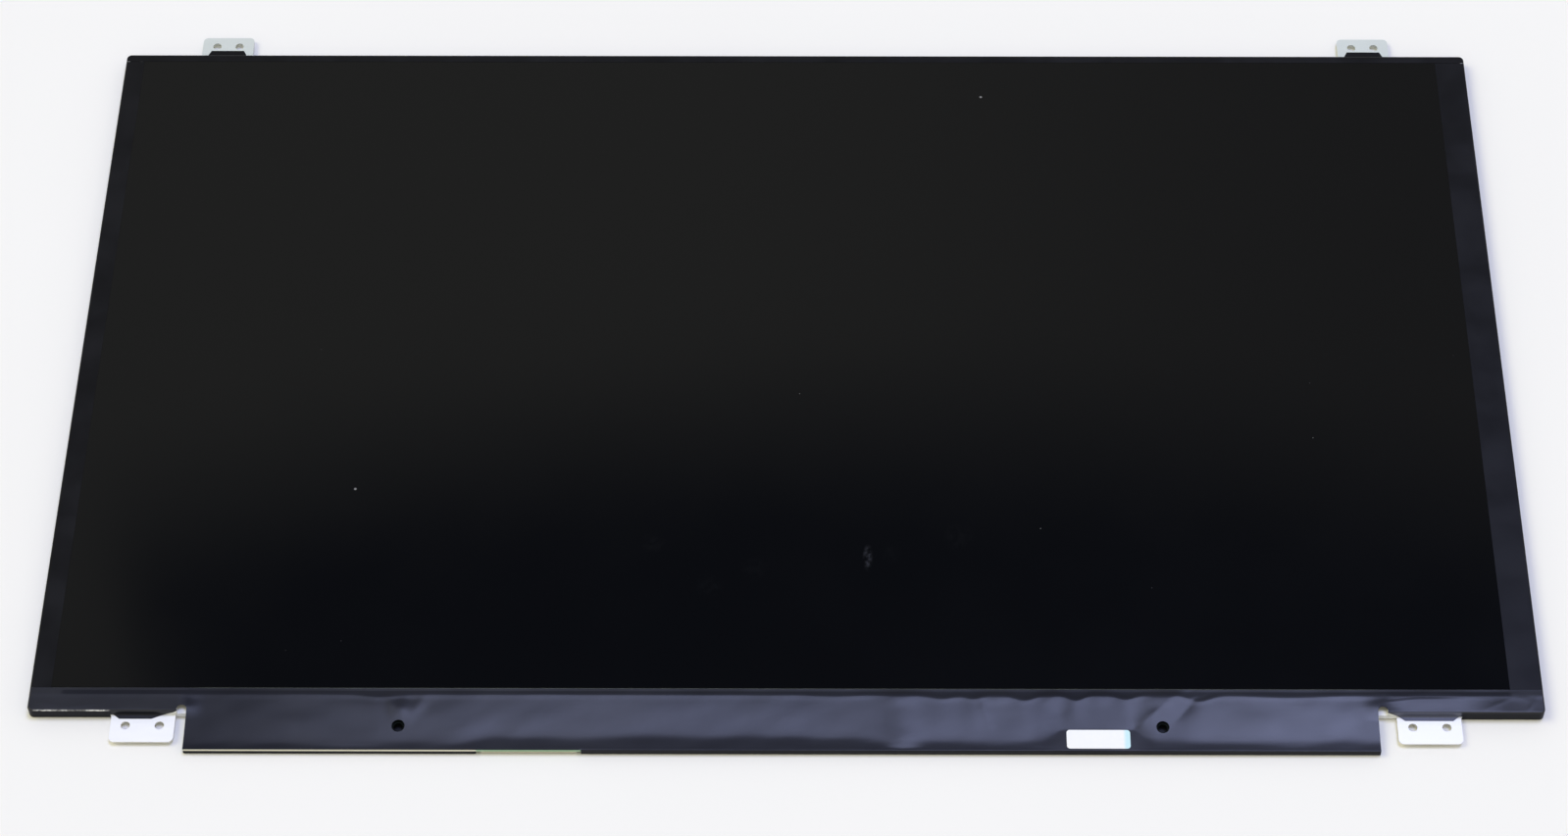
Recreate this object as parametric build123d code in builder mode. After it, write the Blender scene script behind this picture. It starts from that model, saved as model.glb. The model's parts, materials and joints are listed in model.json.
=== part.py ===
from build123d import *
from math import atan, degrees
import os

# A slim 15.6 inch laptop screen panel lying face up, in millimetres.
# X runs to the right of the picture, Y to its top and Z out of its face.
# The origin is under the middle of the whole outline, on the surface that the back rests on.

# Picture and the borders from it to the outside of the tapes
ACTIVE_WIDTH = 344.2
ACTIVE_HEIGHT = 193.6
LEFT_BORDER = 5.75
RIGHT_BORDER = 9.55
TOP_BORDER = 4.1
BOTTOM_BORDER = 8.6
BODY_CORNER_R = 1.2
BODY_EDGE_R = 0.3

# Sheet thicknesses, from the back to the face
TAPE_T = 0.08
TAPE_RECESS = 0.02
CHASSIS_T = 0.3
REFLECTOR_T = 0.15
GUIDE_T = 0.6
DIFFUSER_T = 0.1
PRISM_T = 0.14
OPTIC_GAP = 0.1
RIM_TAPE_T = 0.06
REAR_POLARIZER_T = 0.18
GLASS_T = 0.5
FRONT_POLARIZER_T = 0.25
FILM_T = 0.08
SOURCE_FILM_T = 0.06
LABEL_T = 0.08

# Rear chassis: folded walls, pressed back panel and screw ears
CHASSIS_WALL = 1.25
CORNER_CLIP = 3.0
PANEL_INSET = 9.0
PANEL_CORNER_R = 6.0
PANEL_DRAFT = 45
EAR_HOLE_R = 1.1
EAR_CORNER_R = 1.3
TOP_EAR_IN = 26.55
TOP_EAR_WIDTH = 13.7
TOP_EAR_REACH = 7.6
TOP_EAR_HOLE_OUT = 4.55
TOP_EAR_HOLE_SPACING = 6.0
BOTTOM_EAR_IN = 27.5
BOTTOM_EAR_WIDTH = 15.2
BOTTOM_EAR_REACH = 7.5
BOTTOM_EAR_HOLE_OUT = 3.0
BOTTOM_EAR_HOLE_SPACING = 8.05

# Mould frame and the hooks that snap into windows in the chassis walls
FRAME_WALL = 0.9
FRAME_FIT = 0.05
FRAME_FOOT = 0.9
ROOF_MARGIN = 1.7
HOOK_LENGTH = 6.0
HOOK_HEIGHT = 0.4
HOOK_EDGE = 0.3
HOOK_FIT = 0.15
SIDE_HOOK_IN = 43.15
LONG_HOOK_IN = 59.75
SIDE_HOOK_COUNT = 3
LONG_HOOK_COUNT = 4

# Light guide, optic sheets and their locating tabs
GUIDE_MARGIN = 1.5
GUIDE_MIX = 2.6
GUIDE_FIT = 0.2
SHEET_TAB_LENGTH = 8.0
SHEET_TAB_REACH = 1.2
SHEET_TAB_UP = 55.0

# LED strip along the lower edge
LED_LENGTH = 3.0
LED_DEPTH = 1.0
LED_PITCH = 9.6
LED_GAP = 0.1
TAIL_WIDTH = 6.0
TAIL_IN = 40.0

# Glass cell
CELL_FIT = 0.2
GLASS_SETBACK = 3.0
SEAL_MARGIN = 2.4
LOWER_SEAL_MARGIN = 3.8
POLARIZER_MARGIN = 2.0
RIM_INSET = 0.1
RIM_OVERLAP = 0.6
GATE_CHIP_WIDTH = 1.2
GATE_CHIP_LENGTH = 18.0
GATE_CHIP_T = 0.28
GATE_CHIP_COUNT = 3

# Edge tapes and their tabs over the upper ears
TAPE_MARGIN = 1.7
TAPE_BACK = 5.0
TAPE_JOINT = 0.1
TOP_TAB_BASE = 11.6
TOP_TAB_END = 8.7
TOP_TAB_REACH = 2.95
EAR_CLEAR = 0.35

# Cover film over the lower edge and the board
FILM_GAP = 0.2
RELIEF_R = 1.15
RELIEF_UP = 0.6
BOTTOM_TAB_BASE = 14.4
BOTTOM_TAB_END = 11.4
BOTTOM_TAB_REACH = 1.2
FILM_HOLE_R = 1.55
FOOT_UP = 5.8
HEM_LIFT = 0.1
HEM_BEND_R = 0.1

# Control board, hung below the body between the lower ears
BOARD_T = 0.7
BOARD_OVERHANG = 9.9
BOARD_GAP = 0.5
BOARD_CORNER_R = 0.4
LEFT_NOTCH = 2.65
RIGHT_NOTCH = 4.5
BOARD_HOLE_R = 1.1
BOARD_HOLE_UP = 6.25
LEFT_HOLE_IN = 50.4
RIGHT_HOLE_IN = 51.1
REAR_FILM_LIFT = 0.12
TALL_PART_H = 0.85

# Source films and their chips
SOURCE_LIP = 0.4
SOURCE_BOND = 1.5
SOURCE_LAND = 0.2
SOURCE_REACH = 1.3
SOURCE_WIDTH = 30.0
SOURCE_IN = 21.0
SOURCE_COUNT = 4
SOURCE_CHIP_LENGTH = 16.0
SOURCE_CHIP_DEPTH = 1.2
SOURCE_CHIP_T = 0.28

# Parts on the back of the board: sizes along X and Y, and heights
TIMING_SIZE = (7.0, 7.0)
POWER_SIZE = (5.0, 5.0)
POWER_H = 0.75
DRIVER_SIZE = (4.0, 4.0)
DRIVER_H = 0.75
MEMORY_SIZE = (3.0, 2.0)
MEMORY_H = 0.6
INDUCTOR_SIZE = 4.0
INDUCTOR_CORNER_R = 0.8
CAPACITOR_SIZE = (0.8, 1.6)
CAPACITOR_H = 0.6
CAPACITOR_PITCH = 2.2
SIGNAL_BANK_COUNT = 8
POWER_BANK_COUNT = 6

# Places of these parts, right of the signal cut-out or left of the LED flex's connector
MEMORY_RIGHT = 6.0
TIMING_RIGHT = 14.0
SIGNAL_BANK_RIGHT = 28.0
DRIVER_LEFT = 14.0
INDUCTORS_LEFT = (21.0, 27.0)
POWER_LEFT = 35.0
POWER_BANK_LEFT = 47.0

# Signal connector at the cut-out in the films
SIGNAL_IN = 81.4
SIGNAL_WIDTH = 22.6
SIGNAL_DEPTH = 4.0
SIGNAL_H = 0.9
SIGNAL_SETBACK = 0.25
SIGNAL_END = 0.9
SIGNAL_SLOT_DEPTH = 3.0
SIGNAL_SLOT_H = 0.34
SIGNAL_ROOF = 0.2
SHELL_T = 0.12
SHELL_FOOT = 0.8
CUTOUT_CLEAR = 1.1
CONTACT_PITCH = 0.5
CONTACT_SIDE = 0.5
CONTACT_WIDTH = 0.2
CONTACT_T = 0.1
CONTACT_SETBACK = 0.4
CONTACT_FIT = 0.04
CONTACT_TAIL = 0.6

# Connector that takes the LED flex
ZIF_WIDTH = 9.0
ZIF_DEPTH = 3.0
ZIF_SETBACK = 1.1
ZIF_SLOT_DEPTH = 2.2
ZIF_FIT = 0.05

# Bare label on the film
LABEL_WIDTH = 15.0
LABEL_HEIGHT = 5.1
LABEL_CORNER_R = 0.8
LABEL_IN = 66.4
LABEL_UP = 3.1

# Outline of the body, outside the tapes
body_width = ACTIVE_WIDTH + LEFT_BORDER + RIGHT_BORDER
body_height = ACTIVE_HEIGHT + TOP_BORDER + BOTTOM_BORDER
module_height = BOARD_OVERHANG + body_height + TOP_EAR_REACH
body_left = -body_width / 2
body_right = body_width / 2
body_low = -module_height / 2 + BOARD_OVERHANG
body_high = body_low + body_height
body_mid = (body_low + body_high) / 2
active_left = body_left + LEFT_BORDER
active_right = active_left + ACTIVE_WIDTH
active_low = body_low + BOTTOM_BORDER
active_high = active_low + ACTIVE_HEIGHT

# Outline of the frame and chassis, inside the tapes and the film
frame_left = body_left + TAPE_T
frame_right = body_right - TAPE_T
frame_low = body_low + FILM_T
frame_high = body_high - TAPE_T

# Heights of each layer's underside
rim_under = TAPE_T + TAPE_RECESS
floor_z = rim_under + CHASSIS_T
guide_z = floor_z + REFLECTOR_T
diffuser_z = guide_z + GUIDE_T
lower_prism_z = diffuser_z + DIFFUSER_T
upper_prism_z = lower_prism_z + PRISM_T
ledge_z = upper_prism_z + PRISM_T + OPTIC_GAP
rear_polarizer_z = ledge_z + RIM_TAPE_T
array_z = rear_polarizer_z + REAR_POLARIZER_T
filter_z = array_z + GLASS_T
front_polarizer_z = filter_z + GLASS_T
face_z = front_polarizer_z + FRONT_POLARIZER_T
wall_top = rim_under + CHASSIS_WALL
ear_under = wall_top - CHASSIS_T
roof_under = diffuser_z + FRAME_FIT

# Edges of the light guide and of the window in the frame
guide_left = active_left - GUIDE_MARGIN
guide_right = active_right + GUIDE_MARGIN
guide_low = active_low - GUIDE_MIX
guide_high = active_high + GUIDE_MARGIN
window_low = active_low - ROOF_MARGIN
sheet_low = window_low + GUIDE_FIT
sheet_tab_y = body_mid + SHEET_TAB_UP

# Edges of the glass cell
cell_left = frame_left + FRAME_WALL
cell_right = frame_right - FRAME_WALL
cell_low = frame_low + FRAME_WALL
cell_high = frame_high - FRAME_WALL
array_left = cell_left + CELL_FIT
array_right = cell_right - CELL_FIT
array_low = body_low + GLASS_SETBACK
array_high = cell_high - CELL_FIT
filter_right = active_right + SEAL_MARGIN
filter_low = active_low - LOWER_SEAL_MARGIN

# Screw ears
top_ears = (body_left + TOP_EAR_IN, body_right - TOP_EAR_IN)
bottom_ears = (body_left + BOTTOM_EAR_IN, body_right - BOTTOM_EAR_IN)

# Board, its films and what they reach over
board_left = bottom_ears[0] + BOTTOM_EAR_WIDTH / 2 + LEFT_NOTCH
board_right = bottom_ears[1] - BOTTOM_EAR_WIDTH / 2 - RIGHT_NOTCH
board_low = body_low - BOARD_OVERHANG + FILM_T
board_high = body_low - BOARD_GAP
board_row = (board_low + board_high) / 2
rear_film_top = REAR_FILM_LIFT + FILM_T
board_under = rear_film_top + TALL_PART_H
board_top = board_under + BOARD_T
board_holes = (
    (board_left + LEFT_HOLE_IN, board_low + BOARD_HOLE_UP),
    (board_right - RIGHT_HOLE_IN, board_low + BOARD_HOLE_UP),
)
relief_left = board_left - 2 * RELIEF_R
relief_right = board_right + 2 * RELIEF_R
relief_y = body_low + RELIEF_UP

# Slopes of the source films, from the glass ledge to the board, and of the cover film over them
drop_start = array_low - SOURCE_LIP
drop_end = board_high - SOURCE_LAND
drop_ratio = (filter_z - board_top) / (drop_start - drop_end)
film_land = board_top + SOURCE_FILM_T
film_foot = board_low + FOOT_UP
film_ratio = (front_polarizer_z - film_land) / (filter_low - film_foot)
film_edge = active_low - POLARIZER_MARGIN - FILM_GAP

# Signal connector and the cut-out round it
signal_x = board_left + SIGNAL_IN
signal_low = board_low + SIGNAL_SETBACK
signal_high = signal_low + SIGNAL_DEPTH
cutout_left = signal_x - SIGNAL_WIDTH / 2 - CUTOUT_CLEAR
cutout_right = signal_x + SIGNAL_WIDTH / 2 + CUTOUT_CLEAR
cutout_high = signal_high + CONTACT_TAIL + CUTOUT_CLEAR

# LED flex tail and the connector that it goes into
tail_x = board_right - TAIL_IN
zif_high = board_high - ZIF_SETBACK
zif_low = zif_high - ZIF_DEPTH
zif_slot_end = zif_high - ZIF_SLOT_DEPTH
zif_left = tail_x - ZIF_WIDTH / 2
zif_right = tail_x + ZIF_WIDTH / 2


def area(left, right, low, high, mode=Mode.ADD):
    """A rectangle between four edges, in the sketch being drawn."""
    with Locations(((left + right) / 2, (low + high) / 2)):
        Rectangle(right - left, high - low, mode=mode)


def block(left, right, low, high, under, over, mode=Mode.ADD):
    """A block between six planes, in the part being built."""
    with Locations(((left + right) / 2, (low + high) / 2, (under + over) / 2)):
        Box(right - left, high - low, over - under, mode=mode)


def folded(under, thickness):
    """The closed outline of a thin sheet whose underside follows the given points."""
    over = [(across, up + thickness) for across, up in reversed(under)]
    Polyline(*under, *over, close=True)


def film_height(y):
    """The height of the cover film's underside over the slope."""
    return film_land + (y - film_foot) * film_ratio


def plain_sheet(left, right, low, high, under, thickness):
    """A plain rectangular sheet."""
    with BuildPart() as sheet:
        with BuildSketch(Plane.XY.offset(under)):
            area(left, right, low, high)
        extrude(amount=thickness)
    return sheet


def tabbed_sheet(low, under, thickness):
    """A sheet of the light guide's outline with a locating tab on each side."""
    with BuildPart() as sheet:
        with BuildSketch(Plane.XY.offset(under)):
            area(guide_left, guide_right, low, guide_high)
            with Locations(((guide_left + guide_right) / 2, sheet_tab_y)):
                Rectangle(guide_right - guide_left + 2 * SHEET_TAB_REACH, SHEET_TAB_LENGTH)
        extrude(amount=thickness)
    return sheet


def spread(first, last, count):
    """Places spaced evenly from the first to the last."""
    return [first + (last - first) * i / (count - 1) for i in range(count)]


def row(middle, pitch, count):
    """Places in a row about its middle."""
    reach = pitch * (count - 1) / 2
    return spread(middle - reach, middle + reach, count)


def board_part(places, size, height, corner=0):
    """One or more equal parts under the board, at places along X."""
    with BuildPart() as part:
        with BuildSketch(Plane.XY.offset(board_under)) as outline:
            with Locations(*[(x, board_row) for x in places]):
                Rectangle(*size)
            if corner:
                fillet(outline.vertices(), corner)
        extrude(amount=-height)
    return part


def rounded_body(left, right, low, high, under, over, corner, edge):
    """A slab with rounded corners, its upper and lower edges rounded too."""
    with BuildPart() as body:
        with BuildSketch(Plane.XY.offset(under)) as outline:
            area(left, right, low, high)
            fillet(outline.vertices(), corner)
        extrude(amount=over - under)
        ends = body.faces().sort_by(Axis.Z)
        fillet(ends[0].edges() + ends[-1].edges(), edge)
    return body


def save(piece, name):
    """Labels a finished piece and writes it."""
    piece.part.label = name
    export_step(piece.part, f"parts/{name}.step")


os.makedirs("parts", exist_ok=True)

# Rear chassis
side_hook_ys = spread(body_low + SIDE_HOOK_IN, body_high - SIDE_HOOK_IN, SIDE_HOOK_COUNT)
long_hook_xs = spread(body_left + LONG_HOOK_IN, body_right - LONG_HOOK_IN, LONG_HOOK_COUNT)
hook_over = wall_top - HOOK_EDGE
hook_under = hook_over - HOOK_HEIGHT
slot_over = guide_z + FRAME_FIT

with BuildPart() as rear_chassis:
    # Rim plate with clipped corners
    with BuildSketch(Plane.XY.offset(rim_under)) as rim:
        area(frame_left, frame_right, frame_low, frame_high)
        chamfer(rim.vertices(), CORNER_CLIP)
    extrude(amount=CHASSIS_T)
    # Walls folded up along the four sides
    with BuildSketch(Plane.XY.offset(rim_under)):
        area(frame_left, frame_right, frame_low, frame_high)
        area(
            frame_left + CHASSIS_T,
            frame_right - CHASSIS_T,
            frame_low + CHASSIS_T,
            frame_high - CHASSIS_T,
            Mode.SUBTRACT,
        )
        with GridLocations(frame_right - frame_left, 0, 2, 1):
            with Locations((0, frame_low), (0, frame_high)):
                Rectangle(2 * CORNER_CLIP, 2 * CORNER_CLIP, mode=Mode.SUBTRACT)
    extrude(amount=CHASSIS_WALL)
    folds = rear_chassis.edges().filter_by(Plane.XY).group_by(Axis.Z)[0]
    fillet(folds.filter_by(Axis.X) + folds.filter_by(Axis.Y), BODY_EDGE_R)
    # Back panel pressed out so that the tape on the rim lies just above the surface
    with BuildSketch(Plane.XY) as panel:
        area(
            frame_left + PANEL_INSET,
            frame_right - PANEL_INSET,
            frame_low + PANEL_INSET,
            frame_high - PANEL_INSET,
        )
        fillet(panel.vertices(), PANEL_CORNER_R)
    extrude(amount=rim_under, taper=-PANEL_DRAFT)
    with BuildSketch(Plane.XY.offset(CHASSIS_T)) as dish:
        area(
            frame_left + PANEL_INSET,
            frame_right - PANEL_INSET,
            frame_low + PANEL_INSET,
            frame_high - PANEL_INSET,
        )
        fillet(dish.vertices(), PANEL_CORNER_R)
    extrude(amount=rim_under, taper=-PANEL_DRAFT, mode=Mode.SUBTRACT)
    # Ears bent outwards from the tops of the upper and lower walls
    with BuildSketch(Plane.XY.offset(ear_under)) as upper:
        for x in top_ears:
            area(
                x - TOP_EAR_WIDTH / 2,
                x + TOP_EAR_WIDTH / 2,
                frame_high - CHASSIS_T,
                body_high + TOP_EAR_REACH,
            )
        fillet(upper.vertices().group_by(Axis.Y)[-1], EAR_CORNER_R)
        for x in top_ears:
            with Locations((x, body_high + TOP_EAR_HOLE_OUT)):
                with GridLocations(TOP_EAR_HOLE_SPACING, 0, 2, 1):
                    Circle(EAR_HOLE_R, mode=Mode.SUBTRACT)
    extrude(amount=CHASSIS_T)
    with BuildSketch(Plane.XY.offset(ear_under)) as lower:
        for x in bottom_ears:
            area(
                x - BOTTOM_EAR_WIDTH / 2,
                x + BOTTOM_EAR_WIDTH / 2,
                body_low - BOTTOM_EAR_REACH,
                frame_low + CHASSIS_T,
            )
        fillet(lower.vertices().group_by(Axis.Y)[0], EAR_CORNER_R)
        for x in bottom_ears:
            with Locations((x, body_low - BOTTOM_EAR_HOLE_OUT)):
                with GridLocations(BOTTOM_EAR_HOLE_SPACING, 0, 2, 1):
                    Circle(EAR_HOLE_R, mode=Mode.SUBTRACT)
    extrude(amount=CHASSIS_T)
    # Windows for the frame's hooks
    half = HOOK_LENGTH / 2 + HOOK_FIT
    hook_span = hook_under - HOOK_FIT, hook_over + HOOK_FIT
    for y in side_hook_ys:
        block(frame_left, frame_left + CHASSIS_T, y - half, y + half, *hook_span, Mode.SUBTRACT)
        block(frame_right - CHASSIS_T, frame_right, y - half, y + half, *hook_span, Mode.SUBTRACT)
    for x in long_hook_xs:
        block(x - half, x + half, frame_low, frame_low + CHASSIS_T, *hook_span, Mode.SUBTRACT)
        block(x - half, x + half, frame_high - CHASSIS_T, frame_high, *hook_span, Mode.SUBTRACT)
    # Slot for the LED flex tail
    block(
        tail_x - TAIL_WIDTH / 2 - HOOK_FIT,
        tail_x + TAIL_WIDTH / 2 + HOOK_FIT,
        frame_low,
        frame_low + CHASSIS_T,
        floor_z,
        slot_over,
        Mode.SUBTRACT,
    )
save(rear_chassis, "rear_chassis")

# Mould frame
frame_inset = CHASSIS_T + FRAME_FIT
shoulder_z = wall_top + FRAME_FIT
channel_low = frame_low + frame_inset + FRAME_FOOT
window_left = guide_left - GUIDE_FIT
window_right = guide_right + GUIDE_FIT
window_high = guide_high + GUIDE_FIT
with BuildPart() as mould_frame:
    # Lower ring inside the chassis walls, upper ring out over them
    with BuildSketch(Plane.XY.offset(floor_z)) as foot:
        area(
            frame_left + frame_inset,
            frame_right - frame_inset,
            frame_low + frame_inset,
            frame_high - frame_inset,
        )
        chamfer(foot.vertices(), CORNER_CLIP)
    extrude(amount=shoulder_z - floor_z)
    with BuildSketch(Plane.XY.offset(shoulder_z)) as shoulder:
        area(frame_left, frame_right, frame_low, frame_high)
        fillet(shoulder.vertices(), BODY_CORNER_R)
    extrude(amount=face_z - shoulder_z)
    fillet(mould_frame.faces().sort_by(Axis.Z)[-1].edges(), BODY_EDGE_R)
    # Pocket for the glass, open at the lower edge where the board hangs
    with BuildSketch(Plane.XY.offset(ledge_z)):
        area(cell_left, cell_right, cell_low, cell_high)
        area(relief_left, relief_right, frame_low, cell_low)
    extrude(amount=face_z - ledge_z, mode=Mode.SUBTRACT)
    # Window for the optic sheets, with pockets for their tabs
    with BuildSketch(Plane.XY.offset(floor_z)):
        area(window_left, window_right, window_low, window_high)
        area(
            window_left - SHEET_TAB_REACH,
            window_right + SHEET_TAB_REACH,
            sheet_tab_y - SHEET_TAB_LENGTH / 2 - GUIDE_FIT,
            sheet_tab_y + SHEET_TAB_LENGTH / 2 + GUIDE_FIT,
        )
    extrude(amount=ledge_z - floor_z, mode=Mode.SUBTRACT)
    # Channel under the roof for the LED strip, and the way out for its tail
    with BuildSketch(Plane.XY.offset(floor_z)):
        area(window_left, window_right, channel_low, window_low)
    extrude(amount=roof_under - floor_z, mode=Mode.SUBTRACT)
    with BuildSketch(Plane.XY.offset(floor_z)):
        area(
            tail_x - TAIL_WIDTH / 2 - HOOK_FIT,
            tail_x + TAIL_WIDTH / 2 + HOOK_FIT,
            frame_low + frame_inset,
            channel_low,
        )
    extrude(amount=slot_over - floor_z, mode=Mode.SUBTRACT)
    # Hooks, which end just short of the outside of the chassis walls
    for y in side_hook_ys:
        for edge, face in (
            (frame_left + FRAME_FIT, frame_left + frame_inset),
            (frame_right - frame_inset, frame_right - FRAME_FIT),
        ):
            block(edge, face, y - HOOK_LENGTH / 2, y + HOOK_LENGTH / 2, hook_under, hook_over)
    for x in long_hook_xs:
        for edge, face in (
            (frame_low + FRAME_FIT, frame_low + frame_inset),
            (frame_high - frame_inset, frame_high - FRAME_FIT),
        ):
            block(x - HOOK_LENGTH / 2, x + HOOK_LENGTH / 2, edge, face, hook_under, hook_over)
save(mould_frame, "mould_frame")

# Reflector, light guide and optic sheets
save(plain_sheet(guide_left, guide_right, guide_low, guide_high, floor_z, REFLECTOR_T), "reflector_sheet")
save(tabbed_sheet(guide_low, guide_z, GUIDE_T), "light_guide")
save(tabbed_sheet(sheet_low, diffuser_z, DIFFUSER_T), "diffuser_sheet")
save(tabbed_sheet(sheet_low, lower_prism_z, PRISM_T), "lower_prism_sheet")
save(tabbed_sheet(sheet_low, upper_prism_z, PRISM_T), "upper_prism_sheet")

# LED flex, level with the reflector, and its tail out to the board
flex_low = channel_low + FRAME_FIT
flex_high = guide_low - LED_GAP
with BuildPart() as led_flex:
    with BuildSketch(Plane.XY.offset(floor_z)):
        area(guide_left, guide_right, flex_low, flex_high)
        area(tail_x - TAIL_WIDTH / 2, tail_x + TAIL_WIDTH / 2, zif_slot_end + ZIF_FIT, flex_low)
    extrude(amount=REFLECTOR_T)
save(led_flex, "led_flex")

# LEDs, as tall as the light guide that they shine into
led_count = int((guide_right - guide_left) // LED_PITCH)
with BuildPart() as leds:
    with BuildSketch(Plane.XY.offset(guide_z)):
        with Locations(((guide_left + guide_right) / 2, flex_high - LED_DEPTH / 2)):
            with GridLocations(LED_PITCH, 0, led_count, 1):
                Rectangle(LED_LENGTH, LED_DEPTH)
    extrude(amount=GUIDE_T)
save(leds, "leds")

# Rim tape on the frame's ledge, lapping in over the sheets
with BuildPart() as rim_tape:
    with BuildSketch(Plane.XY.offset(ledge_z)):
        area(cell_left + RIM_INSET, cell_right - RIM_INSET, array_low, cell_high - RIM_INSET)
        area(
            window_left + RIM_OVERLAP,
            window_right - RIM_OVERLAP,
            window_low + RIM_OVERLAP,
            window_high - RIM_OVERLAP,
            Mode.SUBTRACT,
        )
    extrude(amount=RIM_TAPE_T)
save(rim_tape, "rim_tape")

# Glass cell
polarizer_left = active_left - POLARIZER_MARGIN
polarizer_right = active_right + POLARIZER_MARGIN
polarizer_low = active_low - POLARIZER_MARGIN
polarizer_high = active_high + POLARIZER_MARGIN
polarizer = polarizer_left, polarizer_right, polarizer_low, polarizer_high
colour_filter = array_left, filter_right, filter_low, array_high
save(plain_sheet(*polarizer, rear_polarizer_z, REAR_POLARIZER_T), "rear_polarizer")
save(plain_sheet(array_left, array_right, array_low, array_high, array_z, GLASS_T), "array_glass")
save(plain_sheet(*colour_filter, filter_z, GLASS_T), "colour_filter_glass")
save(plain_sheet(*polarizer, front_polarizer_z, FRONT_POLARIZER_T), "front_polarizer")

# Gate driver chips on the glass ledge at the right, one for each equal share of the rows
with BuildPart() as gate_driver_chips:
    with BuildSketch(Plane.XY.offset(filter_z)):
        with Locations(((filter_right + array_right) / 2, (active_low + active_high) / 2)):
            with GridLocations(0, ACTIVE_HEIGHT / GATE_CHIP_COUNT, 1, GATE_CHIP_COUNT):
                Rectangle(GATE_CHIP_WIDTH, GATE_CHIP_LENGTH)
    extrude(amount=GATE_CHIP_T)
save(gate_driver_chips, "gate_driver_chips")

# Source films, bonded to the lower glass ledge and let down onto the board
source_xs = spread(board_left + SOURCE_IN, board_right - SOURCE_IN, SOURCE_COUNT)
with BuildPart() as source_films:
    for x in source_xs:
        with BuildSketch(Plane.YZ.offset(x - SOURCE_WIDTH / 2)):
            with BuildLine():
                folded(
                    [
                        (array_low + SOURCE_BOND, filter_z),
                        (drop_start, filter_z),
                        (drop_end, board_top),
                        (drop_end - SOURCE_REACH, board_top),
                    ],
                    SOURCE_FILM_T,
                )
            make_face()
        extrude(amount=SOURCE_WIDTH)
save(source_films, "source_films")

# Source driver chips under the sloping stretch of the films
slope = degrees(atan(drop_ratio))
slope_mid = (0, (drop_start + drop_end) / 2, (filter_z + board_top) / 2)
with BuildPart() as source_driver_chips:
    with BuildSketch(Plane(slope_mid).rotated((slope, 0, 0))):
        with Locations(*[(x, 0) for x in source_xs]):
            Rectangle(SOURCE_CHIP_LENGTH, SOURCE_CHIP_DEPTH)
    extrude(amount=-SOURCE_CHIP_T)
save(source_driver_chips, "source_driver_chips")

# Control board
with BuildPart() as control_board:
    with BuildSketch(Plane.XY.offset(board_under)) as outline:
        area(board_left, board_right, board_low, board_high)
        fillet(outline.vertices(), BOARD_CORNER_R)
        with Locations(*board_holes):
            Circle(BOARD_HOLE_R, mode=Mode.SUBTRACT)
    extrude(amount=BOARD_T)
save(control_board, "control_board")

# Parts on the back of the board
save(board_part([cutout_right + MEMORY_RIGHT], MEMORY_SIZE, MEMORY_H), "memory_chip")
save(board_part([cutout_right + TIMING_RIGHT], TIMING_SIZE, TALL_PART_H), "timing_controller")
save(board_part([zif_left - POWER_LEFT], POWER_SIZE, POWER_H), "panel_power_chip")
save(board_part([zif_left - DRIVER_LEFT], DRIVER_SIZE, DRIVER_H), "backlight_driver")
inductor_xs = [zif_left - out for out in INDUCTORS_LEFT]
inductor_size = (INDUCTOR_SIZE, INDUCTOR_SIZE)
save(board_part(inductor_xs, inductor_size, TALL_PART_H, INDUCTOR_CORNER_R), "power_inductors")
capacitor_xs = row(cutout_right + SIGNAL_BANK_RIGHT, CAPACITOR_PITCH, SIGNAL_BANK_COUNT)
capacitor_xs += row(zif_left - POWER_BANK_LEFT, CAPACITOR_PITCH, POWER_BANK_COUNT)
save(board_part(capacitor_xs, CAPACITOR_SIZE, CAPACITOR_H), "board_capacitors")

# Signal connector housing, with a slot for the plug and a slit for the contacts
signal_left = signal_x - SIGNAL_WIDTH / 2
signal_right = signal_x + SIGNAL_WIDTH / 2
shell_under = board_under - SIGNAL_H
slot_top = board_under - SIGNAL_ROOF
slot_under = slot_top - SIGNAL_SLOT_H
contact_count = int((SIGNAL_WIDTH - 2 * SIGNAL_END - 2 * CONTACT_SIDE) // CONTACT_PITCH) + 1
contact_reach = CONTACT_PITCH * (contact_count - 1) / 2
slit_left = signal_x - contact_reach - CONTACT_WIDTH / 2 - CONTACT_FIT
slit_right = signal_x + contact_reach + CONTACT_WIDTH / 2 + CONTACT_FIT
with BuildPart() as signal_connector_housing:
    with BuildSketch(Plane.XY.offset(shell_under + SHELL_T)):
        area(signal_left + SHELL_T, signal_right - SHELL_T, signal_low, signal_high)
    extrude(amount=SIGNAL_H - SHELL_T)
    block(
        signal_left + SIGNAL_END,
        signal_right - SIGNAL_END,
        signal_low,
        signal_low + SIGNAL_SLOT_DEPTH,
        slot_under,
        slot_top,
        Mode.SUBTRACT,
    )
    block(
        slit_left,
        slit_right,
        signal_low + SIGNAL_SLOT_DEPTH,
        signal_high,
        slot_top - CONTACT_T - CONTACT_FIT,
        slot_top,
        Mode.SUBTRACT,
    )
save(signal_connector_housing, "signal_connector_housing")

# Metal shell folded round the housing, with a solder foot at each end
with BuildPart() as signal_connector_shell:
    with BuildSketch(Plane.XZ.offset(-signal_high)):
        area(signal_left, signal_right, shell_under, board_under)
        area(
            signal_left + SHELL_T,
            signal_right - SHELL_T,
            shell_under + SHELL_T,
            board_under,
            Mode.SUBTRACT,
        )
        area(signal_left - SHELL_FOOT, signal_left, board_under - SHELL_T, board_under)
        area(signal_right, signal_right + SHELL_FOOT, board_under - SHELL_T, board_under)
    extrude(amount=SIGNAL_DEPTH)
save(signal_connector_shell, "signal_connector_shell")

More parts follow.
